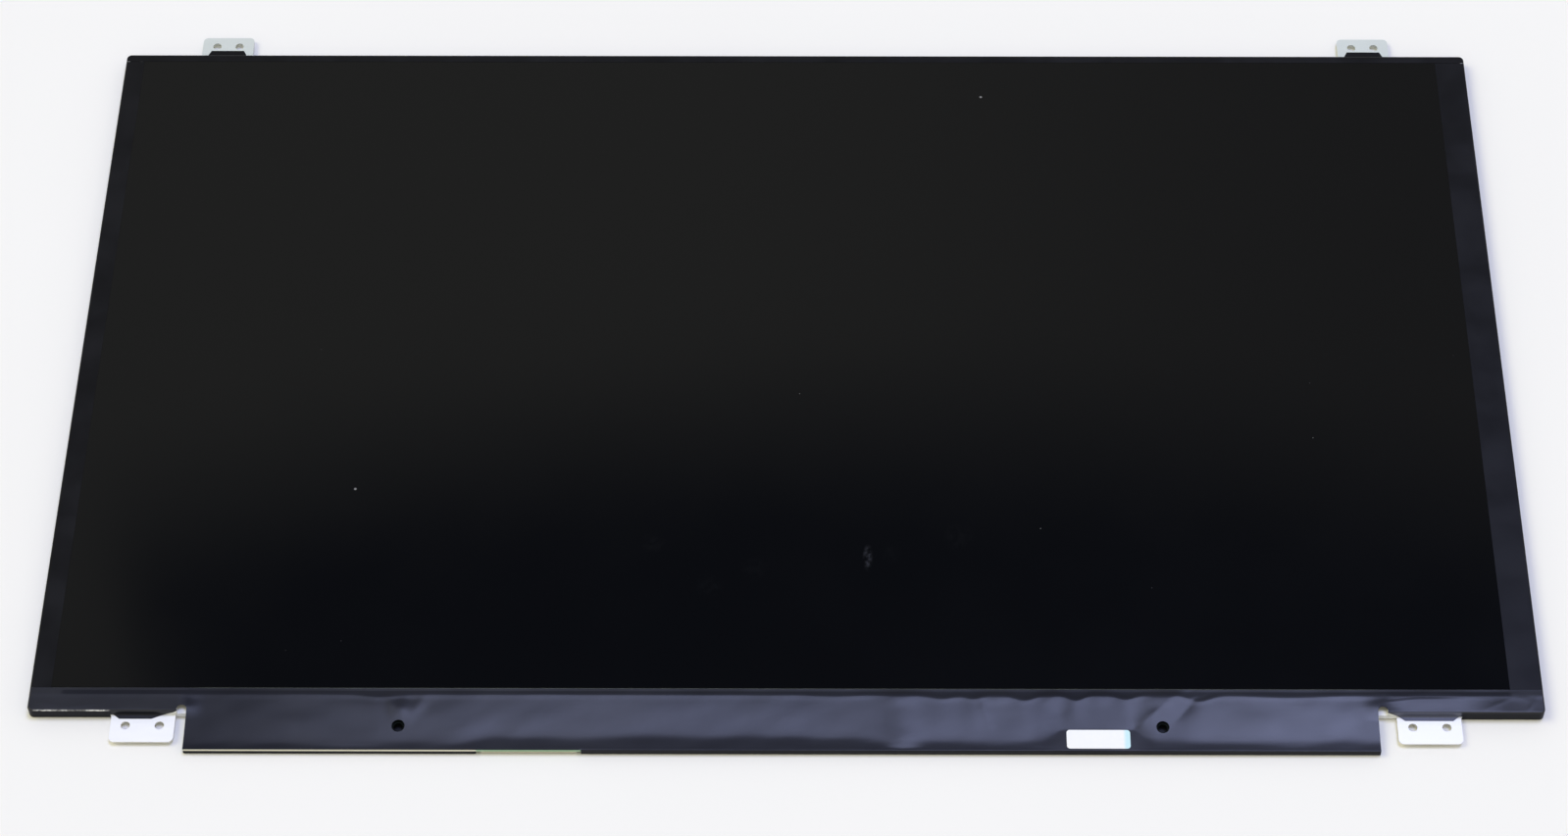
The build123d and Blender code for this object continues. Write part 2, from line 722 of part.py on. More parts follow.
# Contacts along the roof of the slot, with tails up to the board
with BuildPart() as signal_connector_contacts:
    for x in row(signal_x, CONTACT_PITCH, contact_count):
        with BuildSketch(Plane.YZ.offset(x - CONTACT_WIDTH / 2)):
            area(signal_low + CONTACT_SETBACK, signal_high + CONTACT_TAIL, slot_top - CONTACT_T, slot_top)
            area(signal_high + CONTACT_TAIL - CONTACT_T, signal_high + CONTACT_TAIL, slot_top, board_under)
        extrude(amount=CONTACT_WIDTH)
save(signal_connector_contacts, "signal_connector_contacts")

# Connector that takes the tail of the LED flex
with BuildPart() as backlight_connector:
    with BuildSketch(Plane.XY.offset(rear_film_top)):
        area(zif_left, zif_right, zif_low, zif_high)
    extrude(amount=TALL_PART_H)
    block(
        tail_x - TAIL_WIDTH / 2 - ZIF_FIT,
        tail_x + TAIL_WIDTH / 2 + ZIF_FIT,
        zif_slot_end,
        zif_high,
        floor_z,
        guide_z + ZIF_FIT,
        Mode.SUBTRACT,
    )
save(backlight_connector, "backlight_connector")

# Rear film under the parts of the board, open at the signal connector
with BuildPart() as board_rear_film:
    with BuildSketch(Plane.XY.offset(REAR_FILM_LIFT)):
        area(board_left, board_right, board_low, board_high)
        area(cutout_left, cutout_right, board_low, cutout_high, Mode.SUBTRACT)
    extrude(amount=FILM_T)
    # Edge folded up to the board, left of the cut-out
    with BuildSketch(Plane.XY.offset(REAR_FILM_LIFT)):
        area(board_left, cutout_left, board_low - FILM_T, board_low)
    extrude(amount=board_under - REAR_FILM_LIFT)
save(board_rear_film, "board_rear_film")

# Skin round the frame and chassis, from which the tapes and the film's corners are cut
body = body_left, body_right, body_low, body_high, TAPE_RECESS, face_z + TAPE_T
core = frame_left, frame_right, frame_low, frame_high, rim_under, face_z
with BuildPart() as skin:
    add(rounded_body(*body, BODY_CORNER_R + TAPE_T, BODY_EDGE_R + TAPE_T))
    add(rounded_body(*core, BODY_CORNER_R, BODY_EDGE_R), mode=Mode.SUBTRACT)

# Edge tapes folded from the face round the side to the back
tape_left = active_left - TAPE_MARGIN
tape_right = active_right + TAPE_MARGIN
tape_high = active_high + TAPE_MARGIN
side_low = film_edge + TAPE_JOINT
side_high = tape_high - TAPE_JOINT
wall_low = frame_low + CORNER_CLIP
film_wall_end = wall_low - TAPE_JOINT
upper_bend = face_z - BODY_EDGE_R
lower_bend = rim_under + BODY_EDGE_R


def side_tape(outer, face, back):
    """A tape round one side, to given edges on the face and on the back."""
    with BuildPart() as tape:
        block(min(outer, face), max(outer, face), side_low, side_high, upper_bend, face_z + TAPE_T)
        block(min(outer, back), max(outer, back), wall_low, side_high, TAPE_RECESS, upper_bend)
        add(skin, mode=Mode.INTERSECT)
    return tape


save(side_tape(body_left, tape_left, body_left + TAPE_BACK), "left_edge_tape")
save(side_tape(body_right, tape_right, body_right - TAPE_BACK), "right_edge_tape")

# Top tape, which lies over the upper ears as tabs
back_left = body_left + TAPE_BACK + TAPE_JOINT
back_right = body_right - TAPE_BACK - TAPE_JOINT
with BuildPart() as top_edge_tape:
    # Face, wall round the corners, and back between the side tapes
    block(body_left, body_right, tape_high, body_high, upper_bend, face_z + TAPE_T)
    block(body_left, body_right, tape_high, body_high, lower_bend, upper_bend)
    block(back_left, back_right, body_high - TAPE_BACK, body_high, TAPE_RECESS, lower_bend)
    add(skin, mode=Mode.INTERSECT)
    # Room for the ears, then the tabs
    for x in top_ears:
        block(
            x - TOP_EAR_WIDTH / 2 - EAR_CLEAR,
            x + TOP_EAR_WIDTH / 2 + EAR_CLEAR,
            body_high - TAPE_BACK,
            body_high,
            TAPE_RECESS,
            wall_top,
            Mode.SUBTRACT,
        )
    with BuildSketch(Plane.XY.offset(wall_top)):
        for x in top_ears:
            with BuildLine():
                Polyline(
                    (x - TOP_TAB_BASE / 2, frame_high),
                    (x + TOP_TAB_BASE / 2, frame_high),
                    (x + TOP_TAB_END / 2, body_high + TOP_TAB_REACH),
                    (x - TOP_TAB_END / 2, body_high + TOP_TAB_REACH),
                    close=True,
                )
            make_face()
    extrude(amount=TAPE_T)
save(top_edge_tape, "top_edge_tape")

# Cover film over the lower edge and the board
with BuildPart() as film_corners:
    # Corners over the frame
    block(body_left, relief_left, body_low, film_edge, upper_bend, face_z + FILM_T)
    block(relief_right, body_right, body_low, film_edge, upper_bend, face_z + FILM_T)
    # Walls folded down in front and round the corners, short over the ears, slanted at the notches
    for x, side, relief, edge in (
        (bottom_ears[0], 1, relief_left, body_left),
        (bottom_ears[1], -1, relief_right, body_right),
    ):
        clear = x - side * (BOTTOM_EAR_WIDTH / 2 + EAR_CLEAR)
        with BuildSketch(Plane.XZ.offset(-film_wall_end)):
            with BuildLine():
                Polyline(
                    (relief, upper_bend),
                    (x + side * BOTTOM_TAB_BASE / 2, wall_top),
                    (clear, wall_top),
                    (clear, HEM_LIFT),
                    (edge, HEM_LIFT),
                    (edge, upper_bend),
                    close=True,
                )
            make_face()
        extrude(amount=film_wall_end - body_low)
    add(skin, mode=Mode.INTERSECT)

with BuildPart() as board_cover_film:
    # Flap from beside the screen, over the end of the glass and down onto the board
    with BuildSketch(Plane.YZ.offset(board_left)):
        with BuildLine():
            folded(
                [
                    (film_edge, front_polarizer_z),
                    (filter_low, front_polarizer_z),
                    (film_foot, film_land),
                    (board_low, film_land),
                ],
                FILM_T,
            )
        make_face()
    extrude(amount=board_right - board_left)
    # Edge folded down over the board, right of the cut-out
    with BuildSketch(Plane.XY.offset(REAR_FILM_LIFT)):
        area(cutout_right, board_right, board_low - FILM_T, board_low)
    extrude(amount=film_land + FILM_T - REAR_FILM_LIFT)
    hem = board_cover_film.edges().filter_by(Axis.X).group_by(Axis.Y)[0]
    fillet(hem.sort_by(Axis.Z)[-1], HEM_BEND_R)
    # Stretches between flap and corners, which twist as the flap goes down
    for high, low in ((relief_left, board_left), (relief_right, board_right)):
        with BuildSketch(Plane.XZ.offset(-film_edge)):
            with BuildLine():
                folded([(high, face_z), (low, front_polarizer_z)], FILM_T)
            make_face()
        extrude(amount=film_edge - filter_low)
        for y in (filter_low, relief_y):
            with BuildSketch(Plane.XZ.offset(-y)):
                with BuildLine():
                    folded([(high, face_z), (low, film_height(y))], FILM_T)
                make_face()
        loft(ruled=True)
    add(film_corners)
    # Tabs on the lower ears
    with BuildSketch(Plane.XY.offset(wall_top)):
        for x in bottom_ears:
            with BuildLine():
                Polyline(
                    (x - BOTTOM_TAB_BASE / 2, frame_low),
                    (x + BOTTOM_TAB_BASE / 2, frame_low),
                    (x + BOTTOM_TAB_END / 2, body_low - BOTTOM_TAB_REACH),
                    (x - BOTTOM_TAB_END / 2, body_low - BOTTOM_TAB_REACH),
                    close=True,
                )
            make_face()
    extrude(amount=FILM_T)
    # Rounded reliefs at the inner corners, and holes over those in the board
    with BuildSketch(Plane.XY.offset(film_land)):
        with Locations((board_left - RELIEF_R, relief_y), (board_right + RELIEF_R, relief_y)):
            Circle(RELIEF_R)
        with Locations(*board_holes):
            Circle(FILM_HOLE_R)
    extrude(amount=face_z + FILM_T - film_land, mode=Mode.SUBTRACT)
save(board_cover_film, "board_cover_film")

# Bare label on the flap
with BuildPart() as board_label:
    with BuildSketch(Plane.XY.offset(film_land + FILM_T)):
        with Locations((board_right - LABEL_IN, board_low + LABEL_UP)):
            RectangleRounded(LABEL_WIDTH, LABEL_HEIGHT, LABEL_CORNER_R)
    extrude(amount=LABEL_T)
save(board_label, "board_label")
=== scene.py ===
"""Dresses the laptop screen panel: folded film and tapes, surface materials, light and camera."""

import json
import math

import bmesh
import bpy
import numpy as np
from mathutils import Matrix, Vector
from mathutils.geometry import delaunay_2d_cdt


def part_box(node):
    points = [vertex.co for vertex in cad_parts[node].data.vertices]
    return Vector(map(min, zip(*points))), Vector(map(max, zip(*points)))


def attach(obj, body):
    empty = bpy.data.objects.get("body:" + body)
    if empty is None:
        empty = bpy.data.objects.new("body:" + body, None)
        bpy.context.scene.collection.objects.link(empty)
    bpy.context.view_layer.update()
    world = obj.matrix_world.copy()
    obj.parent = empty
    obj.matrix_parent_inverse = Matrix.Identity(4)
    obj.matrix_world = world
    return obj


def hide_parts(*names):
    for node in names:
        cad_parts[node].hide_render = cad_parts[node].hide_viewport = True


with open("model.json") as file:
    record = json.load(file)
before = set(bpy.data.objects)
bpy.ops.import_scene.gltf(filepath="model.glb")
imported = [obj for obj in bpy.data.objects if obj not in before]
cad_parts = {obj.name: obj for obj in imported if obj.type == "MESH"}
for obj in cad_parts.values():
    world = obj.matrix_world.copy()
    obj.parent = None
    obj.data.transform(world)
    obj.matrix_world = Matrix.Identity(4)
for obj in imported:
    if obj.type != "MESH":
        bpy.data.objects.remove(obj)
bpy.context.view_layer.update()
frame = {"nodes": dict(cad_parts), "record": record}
nodes = frame["nodes"]
scene = bpy.context.scene
MM = 0.001


def edges(node):
    """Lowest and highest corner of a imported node, in millimetres."""
    low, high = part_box(node)
    return low / MM, high / MM


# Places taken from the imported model, in millimetres
film_low, film_high = edges("board_cover_film")
board_low, board_high = edges("control_board")
frame_low, frame_high = edges("mould_frame")
label_low, label_high = edges("board_label")
glass_low, glass_high = edges("colour_filter_glass")
face_back = edges("front_polarizer")[1].y
label_middle = (label_low.x + label_high.x) / 2
mounts = {mount["name"]: mount for mount in frame["record"]["mounts"]}
bottom_ears = [mounts[name]["pos_m"][0] / MM for name in ("bottom_left_ear", "bottom_right_ear")]
top_ears = [mounts[name]["pos_m"][0] / MM for name in ("top_left_ear", "top_right_ear")]

hole_mid = [share / MM for share in mounts["board_holes"]["pos_m"]]
hole_reach = mounts["board_holes"]["dims"]["spacing_x_mm"] / 2
board_holes = [(hole_mid[0] + side * hole_reach, hole_mid[1]) for side in (-1, 1)]

# Sheets, in millimetres
SHEET_T = 0.05
FOLD_R = 0.38
TAPE_GAP = 0.08
TAPE_JOINT = 0.02
CREASE_ROOM = 0.06
EDGE_LAP = 0.37
EDGE_STEP = 0.2
FOLD_STEP = 0.08
FILM_GRID = (0.55, 0.45)
TAPE_GRID = (1.6, 0.6)
CORNER_R = 1.28
WALL_DEPTH = 3.2
HEM_R = 0.14
CREST_RISE = 0.05
CREST_WIDTH = 0.8
RIM_RISE = 0.1
FILM_WRAP = 1.7
TOP_WRAP = 1.1
EAR_SLIT = 0.35
BOTTOM_EAR_W = 15.2
BOTTOM_TAB = (14.4, 11.4, 1.2)
LEFT_TRIM = 3.8
TOP_EAR_W = 13.7
TOP_TAB = (11.6, 8.7, 2.95)
TAPE_BACK = 5.0
FLANGE_IN = 5.1
TAPE_LAP = 0.3
RELIEF_R = 1.15
RELIEF_UP = 0.6
FOOT_CLEAR = 0.15
FOOT_SOFT = 0.07
FOOT_OUT = 2.4
BULGE = 1.15
TWIST = 4.5
FILM_HOLE_R = 1.55
CUTOUT_RIGHT = -48.2
CUTOUT_SOFT = (0.8, 0.02)
LET_DOWN = 2.0

# Where the film lies still: beside and behind the label, before a fold, before the board's edge
LABEL_BESIDE = (7.8, 11.0)
LABEL_BEHIND = (0.3, 2.0)
FOLD_STILL = (1.2, 0.3)
EDGE_STILL = (1.5, 0.4)

# Where the foot of the film's slope moves out: away from the label, at the left, at the right
FOOT_LABEL = (8.0, 14.0)
FOOT_LEFT = (66.0, 80.0)
FOOT_RIGHT = (14.0, 28.0)

# Heights and depths of waves and creases, in millimetres
FREE_RISE = 0.4
FREE_DEPTH = 0.25
DENT_START = (0.4, 1.8)
SLOW_WAVE = 0.016
QUICK_WAVE = 0.006
SIDE_RIPPLE = 0.012
TOP_RIPPLE = 0.01
RIPPLE_END = 0.6

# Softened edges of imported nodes, in millimetres
BEVELS = {"front_polarizer": 0.1, "board_label": 0.03, "rear_chassis": 0.05}

# Scallops of the film's crest: x, half width, depth
SCALLOPS = (
    (-96.5, 4.0, 0.6),
    (12.0, 6.0, 0.4),
    (37.0, 4.0, 1.0),
    (44.5, 2.6, 1.0),
    (56.5, 3.2, 1.4),
    (68.7, 2.6, 1.5),
    (80.5, 2.8, 1.2),
    (98.0, 3.6, 1.5),
    (118.0, 9.0, 0.5),
)

# Creases in the film: x, y, half length, half width, turn in degrees, height
PUCKERS = (
    (26.8, -98.2, 4.0, 1.5, 0, 0.10),
    (27.5, -103.5, 6.6, 4.2, 90, 0.12),
    (28.0, -108.6, 3.6, 2.2, 0, 0.08),
    (50.0, -98.2, 3.0, 1.4, 0, 0.13),
    (63.0, -98.2, 2.4, 1.4, 4, 0.14),
    (74.3, -98.3, 2.6, 1.4, -4, 0.14),
    (64.5, -101.8, 2.6, 1.6, 20, -0.06),
    (88.5, -98.2, 3.6, 1.6, 6, 0.12),
    (110.0, -103.0, 9.0, 3.5, -14, 0.04),
    (126.0, -104.5, 8.0, 3.0, 18, 0.03),
    (-91.2, -101.4, 2.6, 2.2, 90, 0.15),
    (-87.4, -100.6, 3.4, 1.6, 62, 0.06),
    (-60.0, -104.0, 18.0, 3.5, 3, 0.03),
    (-118.0, -104.5, 14.0, 3.0, -5, 0.03),
)
RIDGES = (
    (89.0, -100.3, 7.0, 2.2, 41, 0.18),
    (95.0, -100.6, 5.0, 2.2, 50, -0.15),
    (47.0, -101.0, 4.5, 1.2, -74, 0.10),
    (-93.6, -99.6, 3.0, 0.8, 98, 0.06),
    (147.0, -97.7, 6.5, 0.6, 14, 0.055),
    (158.5, -97.1, 6.0, 0.6, -7, 0.055),
    (174.3, -98.0, 3.0, 0.7, -18, 0.055),
    (169.0, -99.4, 3.2, 0.7, 24, 0.055),
    (176.5, -100.2, 2.0, 0.5, 60, 0.055),
    (-168.5, -101.0, 4.0, 0.6, 8, 0.05),
    (-175.0, -100.2, 3.0, 0.6, -14, 0.05),
)


def smooth(value, low, high):
    """Rises softly from 0 at low to 1 at high."""
    share = np.clip((value - low) / (high - low), 0.0, 1.0)
    return share * share * (3.0 - 2.0 * share)


# Die-cut sheets
def arc(centre, radius, start, end, steps=14):
    """Points along an arc, its angles in degrees."""
    turns = np.radians(np.linspace(start, end, steps))
    return [(centre[0] + radius * math.cos(a), centre[1] + radius * math.sin(a)) for a in turns]


def folded(points, radius=FOLD_R, steps=9):
    """Section with rounded right-angled corners: lengths along the sharp section, and places."""
    points = [np.array(point, float) for point in points]
    lengths = [0.0]
    places = [points[0]]
    reached = 0.0
    for before, corner, after in zip(points, points[1:], points[2:]):
        reached += np.linalg.norm(corner - before)
        back = (before - corner) / np.linalg.norm(before - corner)
        ahead = (after - corner) / np.linalg.norm(after - corner)
        for turn in np.linspace(0.0, math.pi / 2, steps):
            places.append(corner + radius * (back * (1 - math.sin(turn)) + ahead * (1 - math.cos(turn))))
            lengths.append(reached + radius * (turn * 4 / math.pi - 1))
    reached += np.linalg.norm(points[-1] - points[-2])
    return np.array(lengths + [reached]), np.array(places + [points[-1]])


def along(section, length):
    """Places at the given lengths of a folded section."""
    lengths, places = section
    return np.interp(length, lengths, places[:, 0]), np.interp(length, lengths, places[:, 1])


def inside(points, outline):
    """Which points lie inside a closed outline."""
    found = np.zeros(len(points), bool)
    x, y = points[:, 0], points[:, 1]
    for (ax, ay), (bx, by) in zip(outline, outline[1:] + outline[:1]):
        if ay != by:
            crosses = (ay > y) != (by > y)
            found ^= crosses & (x < (bx - ax) * (y - ay) / (by - ay) + ax)
    return found


def cut_edge(outline):
    """Closed loop of points along an outline, at most one edge step apart."""
    loop = []
    for start, end in zip(outline, outline[1:] + outline[:1]):
        count = max(1, math.ceil(math.dist(start, end) / EDGE_STEP))
        for step in range(count):
            share = step / count
            loop.append((start[0] + (end[0] - start[0]) * share, start[1] + (end[1] - start[1]) * share))
    return loop


def rows_between(low, high, step, folds):
    """Rows over a pattern's depth, closer together at the folds."""
    rows = list(np.arange(low + step / 2, high, step))
    for fold in folds:
        rows = [row for row in rows if abs(row - fold) > FOLD_R + step / 2]
        rows += list(np.arange(fold - FOLD_R, fold + FOLD_R + FOLD_STEP / 2, FOLD_STEP))
    return sorted(row for row in rows if low < row < high)


def past_edge(x, t, outer, fold):
    """Which places of a pattern lie on a face's corner, and their reach from the corner's centre."""
    across = np.maximum(np.abs(x) - (outer - CORNER_R), 0.0)
    ahead = np.maximum(t - (fold - CORNER_R), 0.0)
    on_face = (across > 0) & (t < fold + (FOLD_R + EDGE_LAP) / 2)
    return on_face, np.where(on_face, np.hypot(across, ahead), 0.0)


def drape(x, t, outer, fold):
    """Bends the corners of a face down over the body: where they are, their x, t and drop."""
    on_face, reach = past_edge(x, t, outer, fold)
    turn = np.clip(((reach - CORNER_R) / FOLD_R + 1) * math.pi / 4, 0.0, math.pi / 2)
    bent = np.where(turn > 0, CORNER_R - FOLD_R * (1 - np.sin(turn)), reach)
    scale = bent / np.maximum(reach, FOLD_STEP)
    start = outer - CORNER_R
    bent_x = np.sign(x) * (start + (np.abs(x) - start) * scale)
    ahead = t - (fold - CORNER_R)
    bent_t = fold - CORNER_R + np.where(ahead > 0, ahead * scale, ahead)
    return on_face, bent_x, bent_t, FOLD_R * (1 - np.cos(turn))


def edge_rings(outer, fold):
    """Close rows of points where a sheet bends over and round the corners of the body."""
    points = []
    for past in np.arange(-FOLD_R, EDGE_LAP, FOLD_STEP):
        hole_shade = [(outer + past, t) for t in np.arange(FOLD_STEP, fold - CORNER_R, EDGE_STEP)]
        hole_shade += arc((outer - CORNER_R, fold - CORNER_R), CORNER_R + past, 2, 88)
        points += hole_shade + [(-x, t) for x, t in hole_shade]
    for t in np.arange(fold + FOLD_R + EDGE_STEP, fold + WALL_DEPTH, 2 * EDGE_STEP):
        wall = [(x, t) for x in np.arange(outer - CORNER_R, outer + CORNER_R, EDGE_STEP)]
        points += wall + [(-x, t) for x, t in wall]
    return np.array(points)


def cut_lines(loops):
    """Points of closed loops, and the lines between them."""
    points = []
    lines = []
    for loop in loops:
        start = len(points)
        points += loop
        lines += [(start + i, start + (i + 1) % len(loop)) for i in range(len(loop))]
    return points, lines


def inner_points(outline, holes, folds, grid, body):
    """Points inside a pattern: even columns, rows closer at the folds, and rings at the body's corners."""
    low, high = np.min(outline, axis=0), np.max(outline, axis=0)
    rows = rows_between(low[1], high[1], grid[1], folds)
    columns = np.arange(low[0] + grid[0] / 4, high[0], grid[0])
    points = np.vstack([np.column_stack([columns, np.full(len(columns), row)]) for row in rows])
    if body:
        reach = past_edge(*points.T, *body)[1]
        points = np.vstack([points[reach < CORNER_R - FOLD_R - FOLD_STEP], edge_rings(*body)])
    points = points[inside(points, outline)]
    for centre, radius in holes:
        points = points[np.hypot(*(points - centre).T) > radius]
    return points


def die_cut(outline, holes, folds, grid, body=None):
    """Flat triangles of a sheet cut to an outline with round holes."""
    loops = [cut_edge(outline)] + [arc(centre, radius, 0, 345, 24) for centre, radius in holes]
    rim, lines = cut_lines(loops)
    inner = inner_points(outline, holes, folds, grid, body)
    points = [Vector(point) for point in rim + inner.tolist()]
    made = delaunay_2d_cdt(points, lines, [], 0, 1e-5)
    flat = np.array([tuple(point) for point in made[0]])
    faces = np.array(made[2])
    middles = flat[faces].mean(axis=1)
    kept = inside(middles, outline)
    for centre, radius in holes:
        kept &= np.hypot(*(middles - centre).T) > radius * 0.99
    return flat, faces[kept]


def sheet(name, node, faces, places, material):
    """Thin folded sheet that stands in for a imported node."""
    corners = places[faces[:, :3]]
    facing = np.cross(corners[:, 1] - corners[:, 0], corners[:, 2] - corners[:, 0])[:, 2]
    upper = corners[:, :, 2].mean(axis=1) > places[:, 2].max() - FOLD_R
    if facing[upper].sum() < 0:
        faces = faces[:, ::-1]
    mesh = bpy.data.meshes.new(name)
    mesh.from_pydata((places * MM).tolist(), [], faces.tolist())
    mesh.shade_smooth()
    shape = bmesh.new()
    shape.from_mesh(mesh)
    for edge in shape.edges:
        edge.smooth = not edge.is_boundary
    shape.to_mesh(mesh)
    shape.free()
    piece = bpy.data.objects.new(name, mesh)
    scene.collection.objects.link(piece)
    solid = piece.modifiers.new("thickness", "SOLIDIFY")
    solid.thickness = SHEET_T * MM
    solid.offset = -1.0
    mesh.materials.append(material)
    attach(piece, "root")
    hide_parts(node)
    return piece


# Film over the control board
film_back = film_high.y
body_low = frame_low.y - TAPE_GAP
corner_level = film_high.z - CREASE_ROOM
board_level = label_low.z
ear_level = mounts["bottom_left_ear"]["pos_m"][2] / MM + TAPE_GAP
hem_level = RIM_RISE
film_fold = film_back - body_low
film_front = film_back - board_low.y
slope_foot = label_high.y + FOOT_CLEAR
slope_crest = glass_low.y
slope_rise = glass_high.z + TAPE_GAP - board_level


def by_label(x, y):
    """0 under and close round the label, 1 away from it."""
    start, end = LABEL_BEHIND
    behind = smooth(y, label_high.y + start, label_high.y + end)
    return np.maximum(smooth(np.abs(x - label_middle), *LABEL_BESIDE), behind)


def crest_line(x):
    """Where the film leaves the end of the glass, in scallops."""
    line = np.full_like(x, slope_crest)
    for at_x, half, depth in SCALLOPS:
        line -= depth * np.exp(-(((x - at_x) / half) ** 2))
    return line


def foot_line(x):
    """Where the film's slope ends: nearest the edge at the left, and pressed back by the label."""
    reach = FOOT_OUT * (1 + 0.9 * smooth(-x, *FOOT_LEFT) + 0.5 * smooth(x, *FOOT_RIGHT))
    return slope_foot - reach * smooth(np.abs(x - label_middle), *FOOT_LABEL)


def flap_height(x, y):
    """Height of the film over the end of the glass, down its bulging slope and over the board."""
    crest = crest_line(x)
    share = (crest - y) / (crest - foot_line(x))
    loose = 1 - FOOT_SOFT * np.logaddexp(0.0, (1 - share) / FOOT_SOFT)
    share = np.minimum(share, 1.0)
    share = np.maximum(share + (loose - share) * by_label(x, y), 0.0)
    return slope_rise * (1 - share**BULGE)


def corner_wrap(past):
    """How far a wall's pattern runs on when it goes round a corner and a length past it."""
    return CORNER_R * (math.pi / 2 - 1) + past


def round_corner(x, y, on_wall, outer, inward):
    """Bends the ends of a wall round the corners of the body."""
    start = outer - CORNER_R
    reach = np.where(on_wall, np.clip(np.abs(x) - start, 0.0, None), 0.0)
    turn = np.clip(reach / CORNER_R, 0.0, math.pi / 2)
    past = reach - CORNER_R * turn
    bent = np.sign(x) * (start + CORNER_R * np.sin(turn))
    return np.where(reach > 0, bent, x), y + inward * (CORNER_R * (1 - np.cos(turn)) + past)


def film_corner(side, outer, ear, board_edge, trim):
    """Pattern of one corner of the film, from its back edge round to the board."""
    relief = (board_edge + side * RELIEF_R, film_fold - RELIEF_UP)
    wall_end = film_fold + corner_level - hem_level
    tab_fold = film_fold + corner_level - ear_level
    clear = ear + side * (BOTTOM_EAR_W / 2 + EAR_SLIT)
    base, end, reach = BOTTOM_TAB
    turn = math.degrees(math.asin(RELIEF_UP / RELIEF_R))
    wrap = corner_wrap(FILM_WRAP)
    rounding = arc((outer - side * CORNER_R, film_fold - CORNER_R), CORNER_R + EDGE_LAP, 0, 90)
    cut = arc(relief, RELIEF_R, turn, -180, 30)
    if side < 0:
        rounding = [(2 * (outer + CORNER_R) - x, t) for x, t in rounding]
        cut = [(2 * relief[0] - x, t) for x, t in cut]
    return (
        [(outer + side * EDGE_LAP, 0.0)]
        + rounding
        + [
            (outer - side * CORNER_R, film_fold + FOLD_R),
            (outer + side * wrap, film_fold + FOLD_R),
            (outer + side * wrap, wall_end),
            (clear, wall_end),
            (clear, tab_fold),
            (ear + side * base / 2, tab_fold),
            (ear + side * end / 2, tab_fold + reach),
            (ear - side * (end / 2 - trim), tab_fold + reach),
            (ear - side * base / 2, tab_fold - trim / 4),
        ]
        + cut
    )


def crease_height(x, y):
    """Height of the puckers, ridges and slow waves over the flat film."""
    height = SLOW_WAVE * np.sin(x / 7.3 + 0.6 * y) * np.sin(x / 17.0 + 1.3)
    height += QUICK_WAVE * np.sin(x / 2.9 - 0.8 * y + 2.0 * np.sin(x / 11.0))
    height += CREST_RISE * np.exp(-(((y - crest_line(x)) / CREST_WIDTH) ** 2))
    for spots, sharp in ((PUCKERS, False), (RIDGES, True)):
        for at_x, at_y, long, wide, turn, rise in spots:
            cos, sin = math.cos(math.radians(turn)), math.sin(math.radians(turn))
            u = ((x - at_x) * cos + (y - at_y) * sin) / long
            v = ((y - at_y) * cos - (x - at_x) * sin) / wide
            fall = np.sqrt(v * v + 0.04) - 0.2 if sharp else v * v
            height += rise * np.exp(-u * u - fall)
    return height


def beside_ear(x, ears, width):
    """Which places lie on the tabs over the ears."""
    return np.min([np.abs(x - ear) for ear in ears], axis=0) < (width + EAR_SLIT) / 2


def flap_places(x, t):
    """Film over the board, wrapped under the near edge to the right of the cut-out: its y and z."""
    edge_fold = folded([(film_back, board_level), (film_low.y, board_level), (film_low.y, hem_level)], HEM_R)
    wrap_y, wrap_z = along(edge_fold, t)
    start, end = CUTOUT_SOFT
    wrapped = smooth(x, CUTOUT_RIGHT - start, CUTOUT_RIGHT - end)
    y = wrapped * wrap_y + (1 - wrapped) * (film_back - t)
    z = wrapped * wrap_z + (1 - wrapped) * board_level
    return y, z + flap_height(x, y)


def corner_places(x, t, over_board):
    """Film at the lower corners, down the walls and out over the ears: its y and z."""
    fold = [(film_back, corner_level), (body_low, corner_level)]
    wall = folded(fold + [(body_low, hem_level)])
    tab = folded(fold + [(body_low, ear_level), (body_low - BOTTOM_TAB[2], ear_level)])
    y, z = np.where(beside_ear(x, bottom_ears, BOTTOM_EAR_W), along(tab, t), along(wall, t))
    return np.where(over_board, film_back - t, y), np.where(over_board, corner_level, z)


def corner_share(x, t, over_board):
    """0 where the film lies on the board, 1 at the corners, twisted between them."""
    left = smooth(-x, -board_low.x - TWIST, -board_low.x + 2 * RELIEF_R)
    right = smooth(x, board_high.x - TWIST, board_high.x + 2 * RELIEF_R)
    let_down = smooth(t, film_fold - RELIEF_UP - RELIEF_R, film_fold + LET_DOWN)
    return (left + right) * np.where(over_board, 1 - let_down, 1.0)


def loose_share(x, y, t, drop, lifted):
    """0 at the folds, on the walls and by the label, 1 where the film is free to crease."""
    share = 1 - smooth(t, film_fold - FOLD_STILL[0], film_fold - FOLD_STILL[1]) * lifted
    share *= 1 - smooth(drop, 0.0, FOLD_R / 4)
    share *= 1 - smooth(t, film_front - EDGE_STILL[0], film_front - EDGE_STILL[1])
    return share * by_label(x, y)


def creases(x, y, lifted):
    """Heights of the creases, within the room over and under the film."""
    room = CREASE_ROOM * lifted + FREE_RISE * (1 - lifted)
    depth = np.minimum(flap_height(x, y) / 3, FREE_DEPTH) * smooth(slope_crest - y, *DENT_START)
    depth = CREASE_ROOM / 4 + depth * (1 - lifted)
    return np.clip(crease_height(x, y), -depth, room)


